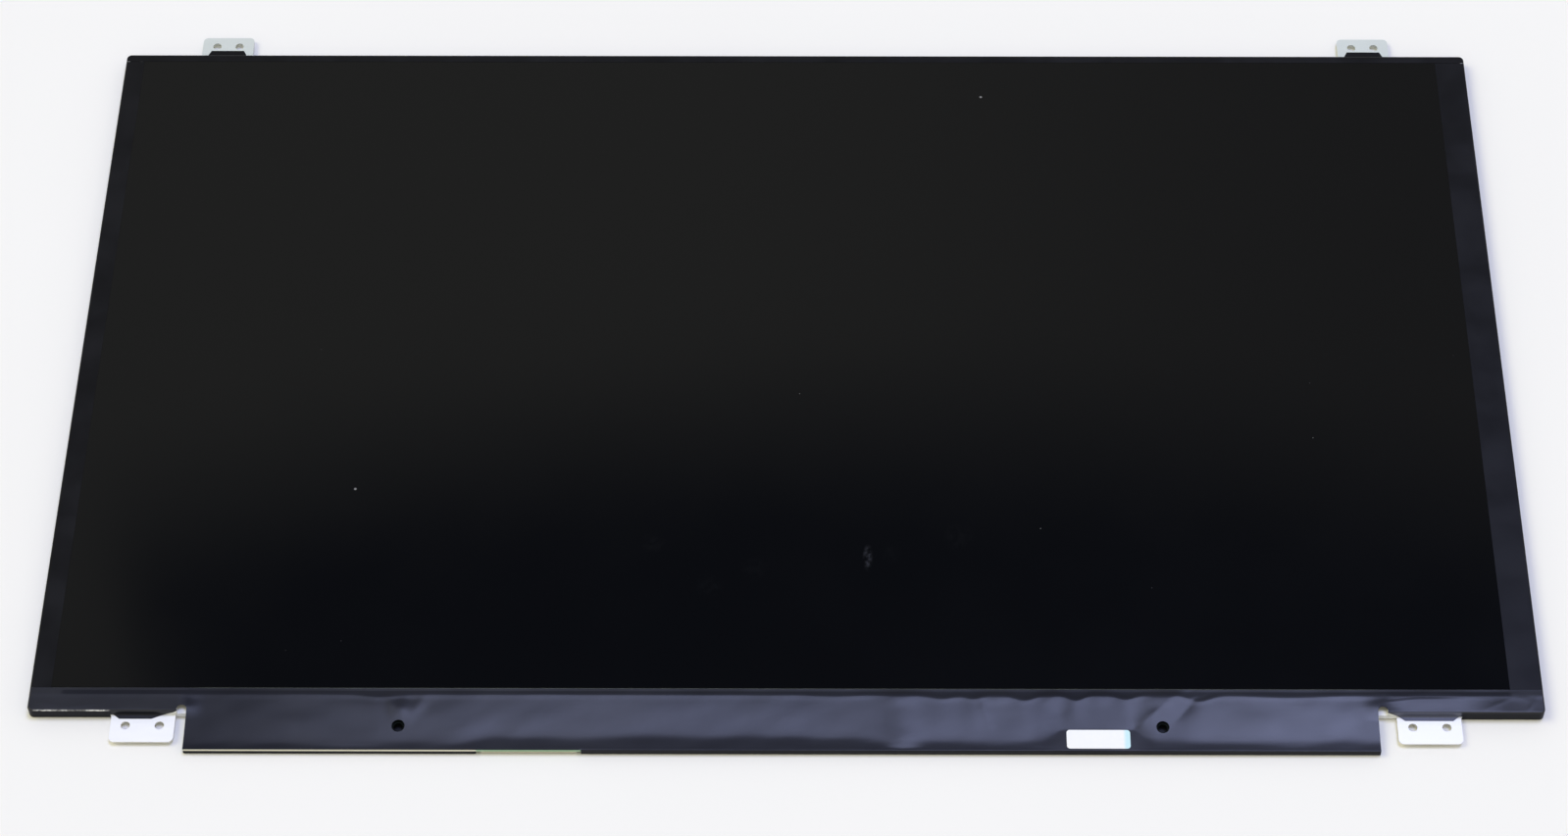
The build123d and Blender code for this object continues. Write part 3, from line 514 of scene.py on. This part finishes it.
def film_places(flat):
    """Folds the flat film over the board, the corners and the ears."""
    x, t = flat.T
    over_board = (x > board_low.x - RELIEF_R) & (x < board_high.x + RELIEF_R)
    lifted = corner_share(x, t, over_board)
    flap_y, flap_z = flap_places(x, t)
    corner_y, corner_z = corner_places(x, t, over_board)
    y = flap_y * (1 - lifted) + corner_y * lifted
    z = flap_z * (1 - lifted) + corner_z * lifted
    on_face, bent_x, bent_t, drop = drape(x, t, film_high.x, film_fold)
    y = np.where(on_face, film_back - bent_t, y)
    z = np.where(on_face, corner_level - drop, z)
    z = np.minimum(z + loose_share(x, y, t, drop, lifted) * creases(x, y, lifted), film_high.z)
    wall_x, wall_y = round_corner(x, y, t > film_fold, film_high.x, 1)
    return np.column_stack([np.where(on_face, bent_x, wall_x), np.where(on_face, y, wall_y), z])


def make_film(material):
    """Black film over the control board, folded down at the corners and under the board."""
    left = film_corner(-1, film_low.x, bottom_ears[0], board_low.x, LEFT_TRIM)
    right = film_corner(1, film_high.x, bottom_ears[1], board_high.x, 0.0)
    wrap_end = film_front + board_level - hem_level
    flap = [
        (board_low.x, film_front),
        (CUTOUT_RIGHT, film_front),
        (CUTOUT_RIGHT, wrap_end),
        (board_high.x, wrap_end),
    ]
    outline = left + flap + right[::-1]
    holes = [((x, film_back - y), FILM_HOLE_R) for x, y in board_holes]
    folds = (film_fold, film_fold + corner_level - ear_level, film_front)
    flat, faces = die_cut(outline, holes, folds, FILM_GRID, (film_high.x, film_fold))
    return sheet("cover_film", "board_cover_film", faces, film_places(flat), material)


# Tapes round the other edges
def make_side_tape(side, node, material):
    """Tape along one side, folded over the edge and under the back."""
    low, high = edges(node)
    inner, outer = (high.x, low.x) if side < 0 else (low.x, high.x)
    level = high.z - CREASE_ROOM / 2
    section = folded([(inner, level), (outer, level), (outer, low.z), (outer - side * TAPE_BACK, low.z)])
    length = section[0][-1]
    folds = (abs(outer - inner), abs(outer - inner) + level - low.z)
    face_end = film_back + TAPE_JOINT
    outline = [(face_end, 0.0), (high.y, 0.0), (high.y, length), (low.y, length)]
    outline += [(low.y, folds[0] + FOLD_R), (face_end, folds[0] + FOLD_R)]
    flat, faces = die_cut(outline, [], folds, TAPE_GRID)
    y, t = flat.T
    x, z = along(section, t)
    ripple = np.sin(y / 6.1 + side) * np.sin(y / 15.0) + 0.5 * np.sin(y / 2.3)
    z = z + SIDE_RIPPLE * ripple * (1 - smooth(t, folds[0] - RIPPLE_END, folds[0]))
    return sheet(node.replace("edge_", ""), node, faces, np.column_stack([x, y, z]), material)


def top_tape_outline(outer, folds, lip):
    """Pattern of the top tape: corners, laps under the back and a tab over each ear."""
    top_fold, tab_fold, under_fold = folds
    base, end, reach = TOP_TAB
    ear = top_ears[1]
    clear = TOP_EAR_W / 2 + EAR_SLIT
    wrap = outer + corner_wrap(TOP_WRAP)
    half = [(outer + EDGE_LAP, 0.0)]
    half += arc((outer - CORNER_R, top_fold - CORNER_R), CORNER_R + EDGE_LAP, 0, 90)
    half += [
        (outer - CORNER_R, top_fold + FOLD_R),
        (wrap, top_fold + FOLD_R),
        (wrap, under_fold - FOLD_R),
        (outer - FLANGE_IN, under_fold - FOLD_R),
        (outer - FLANGE_IN, lip),
        (ear + clear, lip),
        (ear + clear, tab_fold),
        (ear + base / 2, tab_fold),
        (ear + end / 2, tab_fold + reach),
        (ear - end / 2, tab_fold + reach),
        (ear - base / 2, tab_fold),
        (ear - clear, tab_fold),
        (ear - clear, lip),
    ]
    return [(-x, t) for x, t in half] + half[::-1]


def make_top_tape(material):
    """Tape along the top, folded down the back wall, onto the ears and under the back."""
    high = edges("top_edge_tape")[1]
    inner, outer = face_back - TAPE_LAP, frame_high.y + TAPE_GAP
    level = high.z - CREASE_ROOM / 2
    back = edges("left_edge_tape")[0].z
    face = [(inner, level), (outer, level)]
    wall = folded(face + [(outer, back), (outer - TAPE_BACK, back)])
    tab = folded(face + [(outer, ear_level), (outer + TOP_TAB[2], ear_level)])
    top_fold = outer - inner
    folds = (top_fold, top_fold + level - ear_level, top_fold + level - back)
    outline = top_tape_outline(high.x, folds, wall[0][-1])
    flat, faces = die_cut(outline, [], folds, TAPE_GRID, (high.x, top_fold))
    x, t = flat.T
    y, z = np.where(beside_ear(x, top_ears, TOP_EAR_W), along(tab, t), along(wall, t))
    ripple = np.sin(x / 7.7) * np.sin(x / 23.0)
    z = z + TOP_RIPPLE * ripple * (1 - smooth(t, top_fold - RIPPLE_END, top_fold))
    on_face, bent_x, bent_t, drop = drape(x, t, high.x, top_fold)
    wall_x, wall_y = round_corner(x, y, t > top_fold, high.x, -1)
    x = np.where(on_face, bent_x, wall_x)
    y = np.where(on_face, inner + bent_t, wall_y)
    z = np.where(on_face, level - drop, z)
    return sheet("top_tape", "top_edge_tape", faces, np.column_stack([x, y, z]), material)


# Materials
class Nodes:
    """Short ways to add nodes to a tree."""

    def __init__(self, tree):
        self.tree = tree

    def connect(self, socket, value):
        """Gives a socket a link, a colour or a plain value."""
        if isinstance(value, bpy.types.NodeSocket):
            self.tree.links.new(value, socket)
        elif socket.type == "RGBA":
            socket.default_value = (*value, 1.0)
        else:
            socket.default_value = value

    def node(self, kind, inputs, **settings):
        """New node with its settings and inputs."""
        made = self.tree.nodes.new(kind)
        for key, value in settings.items():
            setattr(made, key, value)
        for key, value in inputs.items():
            self.connect(made.inputs[key], value)
        return made

    def sum(self, operation, first, second):
        """One sum of two values."""
        return self.node("ShaderNodeMath", {0: first, 1: second}, operation=operation).outputs[0]

    def product(self, first, *others):
        """Values multiplied together."""
        for value in others:
            first = self.sum("MULTIPLY", first, value)
        return first

    def step(self, value, low, high, start=0.0, end=1.0):
        """Soft step of a value from low to high."""
        inputs = {"Value": value, "From Min": low, "From Max": high, "To Min": start, "To Max": end}
        return self.node("ShaderNodeMapRange", inputs, interpolation_type="SMOOTHSTEP").outputs[0]

    def window(self, value, rise, full, fall, end):
        """Soft mask that is 1 from full to fall."""
        return self.product(self.step(value, rise, full), self.step(value, end, fall))

    def blend(self, share, first, second):
        """Colour between two colours."""
        return self.node("ShaderNodeMix", {0: share, 6: first, 7: second}, data_type="RGBA").outputs[2]

    def ramp(self, value, stops):
        """Colours along a value."""
        made = self.node("ShaderNodeValToRGB", {0: value})
        while len(made.color_ramp.elements) < len(stops):
            made.color_ramp.elements.new(1.0)
        for element, (position, color) in zip(made.color_ramp.elements, stops):
            element.position = position
            element.color = (*color, 1.0)
        return made.outputs[0]


class Surface(Nodes):
    """One node material whose textures lie in the panel's own coordinates."""

    def __init__(self, name, **sockets):
        self.material = bpy.data.materials.new(name)
        self.material.use_nodes = True
        super().__init__(self.material.node_tree)
        self.shader = self.tree.nodes["Principled BSDF"]
        self.place = self.node("ShaderNodeTexCoord", {}).outputs["Object"]
        for socket, value in sockets.items():
            self.feed(socket.replace("_", " ").title().replace("Ior", "IOR"), value)

    def feed(self, socket, value):
        """Gives a shader socket a value, a colour or a texture."""
        self.connect(self.shader.inputs[socket], value)

    def noise(self, size, detail=2.0, stretch=(1.0, 1.0, 1.0)):
        """Noise whose blotches are about size millimetres wide."""
        place = self.node("ShaderNodeMapping", {"Vector": self.place, "Scale": stretch}).outputs[0]
        inputs = {"Vector": place, "Scale": 1 / (size * MM), "Detail": detail}
        return self.node("ShaderNodeTexNoise", inputs).outputs["Fac"]

    def cells(self, size):
        """Distance to scattered points about size millimetres apart."""
        inputs = {"Vector": self.place, "Scale": 1 / (size * MM)}
        return self.node("ShaderNodeTexVoronoi", inputs).outputs["Distance"]

    def axis(self, number):
        """One coordinate, in millimetres."""
        split = self.node("ShaderNodeSeparateXYZ", {0: self.place}).outputs[number]
        return self.sum("DIVIDE", split, MM)

    def from_middle(self):
        """Distance to the left or right of the middle, in millimetres."""
        return self.sum("ABSOLUTE", self.axis(0), 0.0)

    def bump(self, *layers):
        """Fine relief made of heights, each with its depth in millimetres."""
        normal = None
        for height, depth in layers:
            inputs = {"Height": height, "Distance": depth * MM}
            if normal:
                inputs["Normal"] = normal
            normal = self.node("ShaderNodeBump", inputs).outputs[0]
        self.feed("Normal", normal)

    def spot(self, x, y, radius, tall=1.0):
        """Soft round or tall mask about a place on the face."""
        across = self.product(self.sum("SUBTRACT", self.axis(0), x), tall)
        ahead = self.sum("SUBTRACT", self.axis(1), y)
        reach = self.sum("ADD", self.sum("POWER", across, 2.0), self.sum("POWER", ahead, 2.0))
        return self.step(reach, radius * radius, 0.0)


# Marks on the screen: x, y, radius and how many times as tall as wide
TALL_SMEAR = (19.4, -58.2, 4.6, 3.2)
SMEARS = (
    (25.0, -57.0, 3.0),
    (41.5, -52.0, 4.5),
    (-8.0, -61.4, 4.0),
    (-19.0, -66.5, 4.0),
    (-33.0, -54.0, 3.5),
)
SMEAR_SHARE = 0.1
SPECKS = ((-175.7, 101.9), (49.7, 89.7), (-107.0, -38.0))
SPECK_R = 0.45


def screen_material():
    """Dark semi-gloss screen with faint haze, smears and dust."""
    face = Surface("screen_face", specular_ior_level=0.5)
    smear = face.spot(*TALL_SMEAR)
    for place in SMEARS:
        smear = face.sum("MAXIMUM", smear, face.product(face.spot(*place), SMEAR_SHARE))
    smear = face.product(smear, face.step(face.noise(1.6, 3.0), 0.35, 0.65))
    dust = face.product(face.step(face.cells(9.0), 0.016, 0.008), face.step(face.noise(40.0), 0.5, 0.6))
    for x, y in SPECKS:
        dust = face.sum("MAXIMUM", dust, face.spot(x, y, SPECK_R))
    color = face.blend(smear, (0.0007, 0.0008, 0.0012), (0.0055, 0.0059, 0.0074))
    face.feed("Base Color", face.blend(dust, color, (0.2, 0.2, 0.2)))
    haze = face.step(face.noise(35.0, 3.0), 0.3, 0.7, 0.065, 0.085)
    face.feed("Roughness", face.sum("ADD", haze, face.product(smear, 0.2)))
    return face.material


# Tones of the film, by place in millimetres, painted light, painted sheen and painted shade among them:
# where each starts and is full, or also falls and ends
RUB_X = (-178.6, -177.5, -161.0, -159.5)
RUB_Y = (-101.72, -101.80)
RUB_Z = (2.78, 2.86)
CORNER_X = (141.0, 144.5)
# Walls and hem where the sheen is dimmed as painted shade
WALL_Y = (body_low - 0.5, body_low - 0.25)
WALL_Z = (2.9, 2.65)
EAR_END_X = (159.6, 160.2)
HEM_Y = (film_low.y + HEM_R, film_low.y + HEM_R / 3)
BACK_Y = (-96.5, -96.0)
# Band of painted shade along the screen's lower edge, and the painted shade of a crease at the right corner
BAND_X = (173.0, 171.0)
BAND_Y = (-97.7, -97.2, -96.5, -96.0)
CREASE_X = (140.5, 142.0, 150.0, 166.0)
CREASE_RUN = (140.0, 151.0, -98.9, -97.9)
CREASE_WIDE = (0.6, 0.1)
# Painted light on the wall in front of the right ear
LIT_WALL_X = (142.0, 145.0, 159.4, 160.2)
LIT_WALL_Y = (body_low + 0.3, body_low)
SAG_X = (141.0, 147.0, 158.0, 171.0)
SAG_Y = (-97.4, -102.4)
SAG_DEPTH = -0.36


def film_rub(film):
    """Where the left fold is rubbed through to its pale base."""
    return film.product(
        film.window(film.axis(0), *RUB_X),
        film.step(film.axis(1), *RUB_Y),
        film.step(film.axis(2), *RUB_Z),
        film.step(film.noise(0.6, 3.0), 0.3, 0.6),
        film.step(film.noise(4.0, 2.0), 0.35, 0.6, 0.2, 1.0),
    )


def film_walls(film, corner):
    """Where the sheen is dimmed as painted shade: walls below the corners' folds, less so over the left ear,
    and the hem at the board's edge.
    """
    by_ear = film.step(film.axis(0), -10.0, 10.0, 0.55, 0.0)
    wall = film.product(
        corner,
        film.step(film.axis(2), *WALL_Z),
        film.step(film.axis(1), *WALL_Y),
        film.step(film.from_middle(), *EAR_END_X, by_ear, 1.0),
    )
    return film.sum("MAXIMUM", wall, film.step(film.axis(1), *HEM_Y))


def flap_sheen(film):
    """Painted sheen of the film over the board, set by place: less at the left, with painted shade where it
    doesn't lean to the front.
    """
    x = film.axis(0)
    # Painted sheen set by place along the film: weak at the far left, stronger at the right, weaker about x
    # 70 mm
    sheen = film.product(
        film.step(x, -142.0, -88.0, 0.25, 0.54),
        film.step(x, -62.0, 5.0, 1.0, 0.75),
        film.step(x, 92.0, 106.0, 1.0, 1.2),
        film.step(film.spot(70.0, -101.0, 17.0), 0.0, 1.0, 1.0, 0.76),
    )
    # Painted shade where the film lies level, except at the label's end and along the back edge
    facing = film.node("ShaderNodeNewGeometry", {}).outputs["Normal"]
    lean = film.node("ShaderNodeSeparateXYZ", {0: facing}).outputs[1]
    by_label_end = film.spot(label_middle, label_low.y, 15.0)
    bright = film.sum("MAXIMUM", by_label_end, film.step(film.axis(1), *BACK_Y))
    painted_shade = film.step(bright, 0.0, 1.0, 0.42, 1.0)
    return film.product(sheen, film.step(lean, -0.085, -0.025, 1.0, painted_shade))


def corner_sheen(film):
    """Painted sheen of the film's flat corners, with a band of painted shade and, at the right, the painted
    shade of a crease.
    """
    x, y = film.axis(0), film.axis(1)
    band = film.product(film.window(y, *BAND_Y), film.step(film.from_middle(), *BAND_X))
    # Painted shade of a crease, along a curve at the right corner
    off_crease = film.sum("ABSOLUTE", film.sum("SUBTRACT", y, film.step(x, *CREASE_RUN)), 0.0)
    crease = film.product(film.step(off_crease, *CREASE_WIDE), film.window(x, *CREASE_X))
    return film.step(film.sum("MAXIMUM", band, crease), 0.0, 1.0, 0.4, 0.13)


def film_material():
    """Black satin film with a blue sheen, rubbed bare along its left fold; its sheen is painted by place,
    with painted shade on its walls and hem and painted light on the wall by the right ear.
    """
    film = Surface("black_film", specular_ior_level=0.3)
    cloud = film.noise(14.0, 3.0)
    corner = film.step(film.from_middle(), *CORNER_X)
    sheen = film.step(corner, 0.0, 1.0, flap_sheen(film), corner_sheen(film))
    # Painted shade: the sheen dimmed on the walls below the folds and on the hem
    painted_shade = film.step(film_walls(film, corner), 0.0, 1.0, 1.0, 0.15)
    film.feed("Specular IOR Level", film.product(sheen, painted_shade))
    color = film.blend(cloud, (0.009, 0.0095, 0.014), (0.013, 0.014, 0.020))
    # Painted light: a paler blue base colour on the wall in front of the right ear
    painted_light = film.product(film.window(film.axis(0), *LIT_WALL_X), film.step(film.axis(1), *LIT_WALL_Y))
    color = film.blend(painted_light, color, (0.085, 0.092, 0.145))
    film.feed("Base Color", film.blend(film_rub(film), color, (0.80, 0.79, 0.77)))
    film.feed("Roughness", film.step(cloud, 0.3, 0.7, 0.29, 0.34))
    sag = film.product(film.window(film.axis(0), *SAG_X), film.step(film.axis(1), *SAG_Y))
    film.bump((film.noise(0.9, 4.0), 0.006), (film.noise(4.0, 2.0), 0.02), (sag, SAG_DEPTH))
    return film.material


def tape_material():
    """Black satin tape with a fine grain."""
    tape = Surface("black_tape", specular_ior_level=0.2)
    grain = tape.noise(0.5, 3.0)
    wear = tape.noise(11.0, 4.0)
    tape.feed("Base Color", tape.blend(wear, (0.002, 0.002, 0.0025), (0.005, 0.005, 0.006)))
    tape.feed("Roughness", tape.step(wear, 0.3, 0.7, 0.28, 0.36))
    tape.bump((grain, 0.006))
    return tape.material


def metal_material():
    """Bare rolled sheet metal, with painted shade that turns it darker and greener from y 0 to 100 mm,
    towards the far side.
    """
    metal = Surface("bare_metal", metallic=0.25)
    lines = metal.noise(0.35, 3.0, (0.03, 1.0, 1.0))
    cloud = metal.noise(25.0, 3.0)
    color = metal.blend(cloud, (0.86, 0.865, 0.87), (0.92, 0.922, 0.925))
    # Painted shade: a darker, greener copy of the metal's colour, blended in towards the far side
    painted_shade = metal.blend(cloud, (0.58, 0.62, 0.57), (0.66, 0.70, 0.65))
    metal.feed("Base Color", metal.blend(metal.step(metal.axis(1), 0.0, 100.0), color, painted_shade))
    metal.feed("Roughness", metal.step(lines, 0.3, 0.7, 0.42, 0.55))
    metal.bump((lines, 0.003))
    return metal.material


def mottled(name, low, high, roughness, size=2.0, relief=0.01, **sockets):
    """Plain surface with a slight mottle in its colour, gloss and relief."""
    plain = Surface(name, **sockets)
    cloud = plain.noise(size, 3.0)
    plain.feed("Base Color", plain.blend(cloud, low, high))
    plain.feed("Roughness", plain.step(cloud, 0.3, 0.7, roughness - 0.06, roughness + 0.06))
    plain.bump((plain.noise(size / 4), relief))
    return plain.material


def board_material():
    """Green board with a cream laminate edge, paler green where the socket is, and painted shade in a dark
    ring round each hole.
    """
    board = Surface("board")
    mask = board.blend(board.noise(3.0, 3.0), (0.010, 0.10, 0.045), (0.018, 0.15, 0.07))
    laminate = board.blend(board.noise(0.6, 3.0), (0.70, 0.67, 0.56), (0.84, 0.81, 0.70))
    pale = board.blend(board.noise(0.6, 3.0), (0.24, 0.42, 0.26), (0.34, 0.52, 0.34))
    edge = board.blend(board.step(board.axis(0), -73.2, -72.6), laminate, pale)
    at_edge = board.step(board.axis(1), board_low.y + 0.05, board_low.y + 0.02)
    # Painted shade: the board dark and barely glossy round each hole
    hole_shade = board.sum("MAXIMUM", *[board.spot(*place, 2 * FILM_HOLE_R) for place in board_holes])
    top = board.blend(board.step(hole_shade, 0.3, 0.5), mask, (0.004, 0.006, 0.005))
    board.feed("Base Color", board.blend(at_edge, top, edge))
    board.feed("Specular IOR Level", board.step(hole_shade, 0.3, 0.5, 0.5, 0.05))
    board.feed("Roughness", board.step(board.noise(2.0), 0.3, 0.7, 0.35, 0.5))
    board.bump((board.noise(1.2, 2.0), 0.01))
    return board.material


def label_material():
    """Coated white paper, one end tinted pale blue."""
    label = Surface("label")
    tint = label.step(label.axis(0), label_high.x - 1.8, label_high.x - 0.8)
    paper = label.blend(label.noise(0.8, 4.0), (0.86, 0.87, 0.87), (0.92, 0.92, 0.92))
    label.feed("Base Color", label.blend(tint, paper, (0.58, 0.82, 0.87)))
    label.feed("Roughness", label.step(label.noise(1.5), 0.3, 0.7, 0.45, 0.6))
    label.bump((label.noise(0.25, 3.0), 0.004))
    return label.material


def glass_material():
    """Thin sheet glass with a slight green body."""
    glass = Surface("cell_glass", transmission_weight=0.85, ior=1.5)
    cloud = glass.noise(50.0)
    glass.feed("Base Color", glass.blend(cloud, (0.55, 0.62, 0.60), (0.60, 0.66, 0.64)))
    glass.feed("Roughness", glass.step(cloud, 0.3, 0.7, 0.03, 0.07))
    return glass.material


def node_materials():
    """One material for every slot of the record."""
    return {
        "screen_face": screen_material(),
        "cell_glass": glass_material(),
        "clear_sheet": mottled("clear_sheet", (0.78, 0.82, 0.83), (0.84, 0.87, 0.87), 0.15, 8.0),
        "white_sheet": mottled("white_sheet", (0.86, 0.87, 0.87), (0.91, 0.91, 0.91), 0.4, 10.0),
        "black_tape": tape_material(),
        "black_film": film_material(),
        "bare_metal": metal_material(),
        "white_frame": mottled("white_frame", (0.82, 0.82, 0.79), (0.88, 0.88, 0.85), 0.5, 3.0),
        "board": board_material(),
        "chip": mottled("chip", (0.012, 0.012, 0.013), (0.02, 0.02, 0.021), 0.55, 0.4),
        "ferrite": mottled("ferrite", (0.05, 0.05, 0.055), (0.09, 0.09, 0.095), 0.6, 0.3),
        "capacitor": mottled("capacitor", (0.33, 0.22, 0.12), (0.42, 0.30, 0.17), 0.45, 0.3),
        "amber_film": mottled("amber_film", (0.40, 0.16, 0.02), (0.52, 0.22, 0.03), 0.25, 2.0),
        "white_flex": mottled("white_flex", (0.80, 0.80, 0.78), (0.88, 0.88, 0.86), 0.5, 1.5),
        "led_body": mottled("led_body", (0.85, 0.78, 0.42), (0.92, 0.86, 0.55), 0.3, 0.6),
        "socket_plastic": mottled("socket_plastic", (0.66, 0.60, 0.47), (0.74, 0.68, 0.55), 0.45, 0.8),
        "socket_shell": mottled(
            "socket_shell", (0.66, 0.66, 0.65), (0.76, 0.76, 0.75), 0.35, 1.0, 0.002, metallic=1.0
        ),
        "socket_contact": mottled(
            "socket_contact", (0.75, 0.55, 0.22), (0.86, 0.66, 0.30), 0.28, 0.5, 0.001, metallic=1.0
        ),
        "label": label_material(),
    }


def dress(materials):
    """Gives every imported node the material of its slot."""
    for part in frame["record"]["subparts"]:
        mesh = nodes[part["node"]].data
        mesh.materials.clear()
        mesh.materials.append(materials[part["material_slot"]])
    for node, width in BEVELS.items():
        bevel = nodes[node].modifiers.new("edge", "BEVEL")
        bevel.width = width * MM
        bevel.segments = 2
        bevel.limit_method = "ANGLE"


# Room: colours of the walls, and sizes in metres
WALL = (0.66, 0.66, 0.66)
BACK_WALL = (0.67, 0.65, 0.53)
UPPER_WALL = (0.285, 0.285, 0.270)
DIM_WALL = (0.19, 0.19, 0.19)
LEFT_PATCH = (0.19, 0.19, 0.19)
DARK_PATCH = (0.055, 0.062, 0.085)
CEILING = (0.36, 0.38, 0.44)
TABLE_HALF = 3.0
TABLE_LEVEL = -0.0001

# Camera fitted to the photograph: millimetres, shares of the frame, degrees about x, y and z, metres
LENS = 85.26
SENSOR = 36.0
SHIFT = (-0.0391, -0.0009)
TILT = (35.932, 0.115, 0.089)
STAND = (0.0157, -0.5609, 0.7554)


def make_floor():
    """Plain pale table top."""
    table = Surface("table")
    cloud = table.noise(180.0, 2.0)
    table.feed("Base Color", table.blend(cloud, (0.865, 0.85, 0.80), (0.905, 0.89, 0.845)))
    table.feed("Roughness", table.step(cloud, 0.3, 0.7, 0.6, 0.7))
    table.bump((table.noise(3.0, 3.0), 0.01))
    corners = ((-1, -1), (1, -1), (1, 1), (-1, 1))
    mesh = bpy.data.meshes.new("table")
    mesh.from_pydata([(TABLE_HALF * x, TABLE_HALF * y, TABLE_LEVEL) for x, y in corners], [], [(0, 1, 2, 3)])
    mesh.materials.append(table.material)
    floor = bpy.data.objects.new("table", mesh)
    scene.collection.objects.link(floor)


def wall_stops(upper, patch):
    """Colours from the floor up: pale wall, upper wall, patch and ceiling."""
    walls = ((0.0, WALL), (0.58, WALL), (0.68, upper), (0.797, upper))
    return walls + patch + ((0.93, CEILING), (1.0, CEILING))


def make_room():
    """Soft room light: pale walls, and a dark patch high on the far side that ends at the left."""
    world = bpy.data.worlds.new("room")
    scene.world = world
    world.use_nodes = True
    room = Nodes(world.node_tree)
    looking = room.node("ShaderNodeTexCoord", {}).outputs["Generated"]
    x, y, z = room.node("ShaderNodeSeparateXYZ", {0: looking}).outputs
    slant = room.sum("DIVIDE", x, y)
    patch = ((0.824, DARK_PATCH), (0.875, DARK_PATCH))
    left = room.ramp(z, wall_stops(UPPER_WALL, ((0.87, LEFT_PATCH),)))
    dark = room.ramp(z, wall_stops(UPPER_WALL, patch))
    dim = room.ramp(z, wall_stops(DIM_WALL, patch))
    far = room.blend(room.step(slant, -0.10, 0.28), dark, dim)
    far = room.blend(room.step(slant, -0.372, -0.346), left, far)
    walls = room.blend(room.step(y, -0.1, 0.1), BACK_WALL, far)
    room.connect(room.tree.nodes["Background"].inputs[0], walls)


def make_lamp(name, towards, energy, spread, color):
    """Soft distant light from one direction."""
    lamp = bpy.data.lights.new(name, "SUN")
    lamp.energy = energy
    lamp.angle = math.radians(spread)
    lamp.color = color
    sun = bpy.data.objects.new(name, lamp)
    sun.rotation_euler = Vector(towards).to_track_quat("Z", "Y").to_euler()
    scene.collection.objects.link(sun)


def make_camera():
    """Camera at the photograph's viewing angle."""
    data = bpy.data.cameras.new("camera")
    data.lens = LENS
    data.sensor_width = SENSOR
    data.shift_x, data.shift_y = SHIFT
    data.clip_start = 0.01
    camera = bpy.data.objects.new("camera", data)
    about_x, about_y, about_z = [
        Matrix.Rotation(math.radians(angle), 4, axis) for angle, axis in zip(TILT, "XYZ")
    ]
    camera.matrix_world = Matrix.Translation(STAND) @ (about_x @ about_y @ about_z)
    scene.collection.objects.link(camera)
    scene.camera = camera


materials = node_materials()
dress(materials)
make_film(materials["black_film"])
make_side_tape(-1, "left_edge_tape", materials["black_tape"])
make_side_tape(1, "right_edge_tape", materials["black_tape"])
make_top_tape(materials["black_tape"])
make_floor()
make_room()
make_lamp("left_light", (-0.62, 0.12, 0.72), 0.95, 30, (1.0, 0.96, 0.60))
make_lamp("overhead_light", (0.17, 0.20, 0.965), 1.75, 28, (0.50, 0.56, 0.95))
make_camera()
scene.view_settings.view_transform = "Standard"
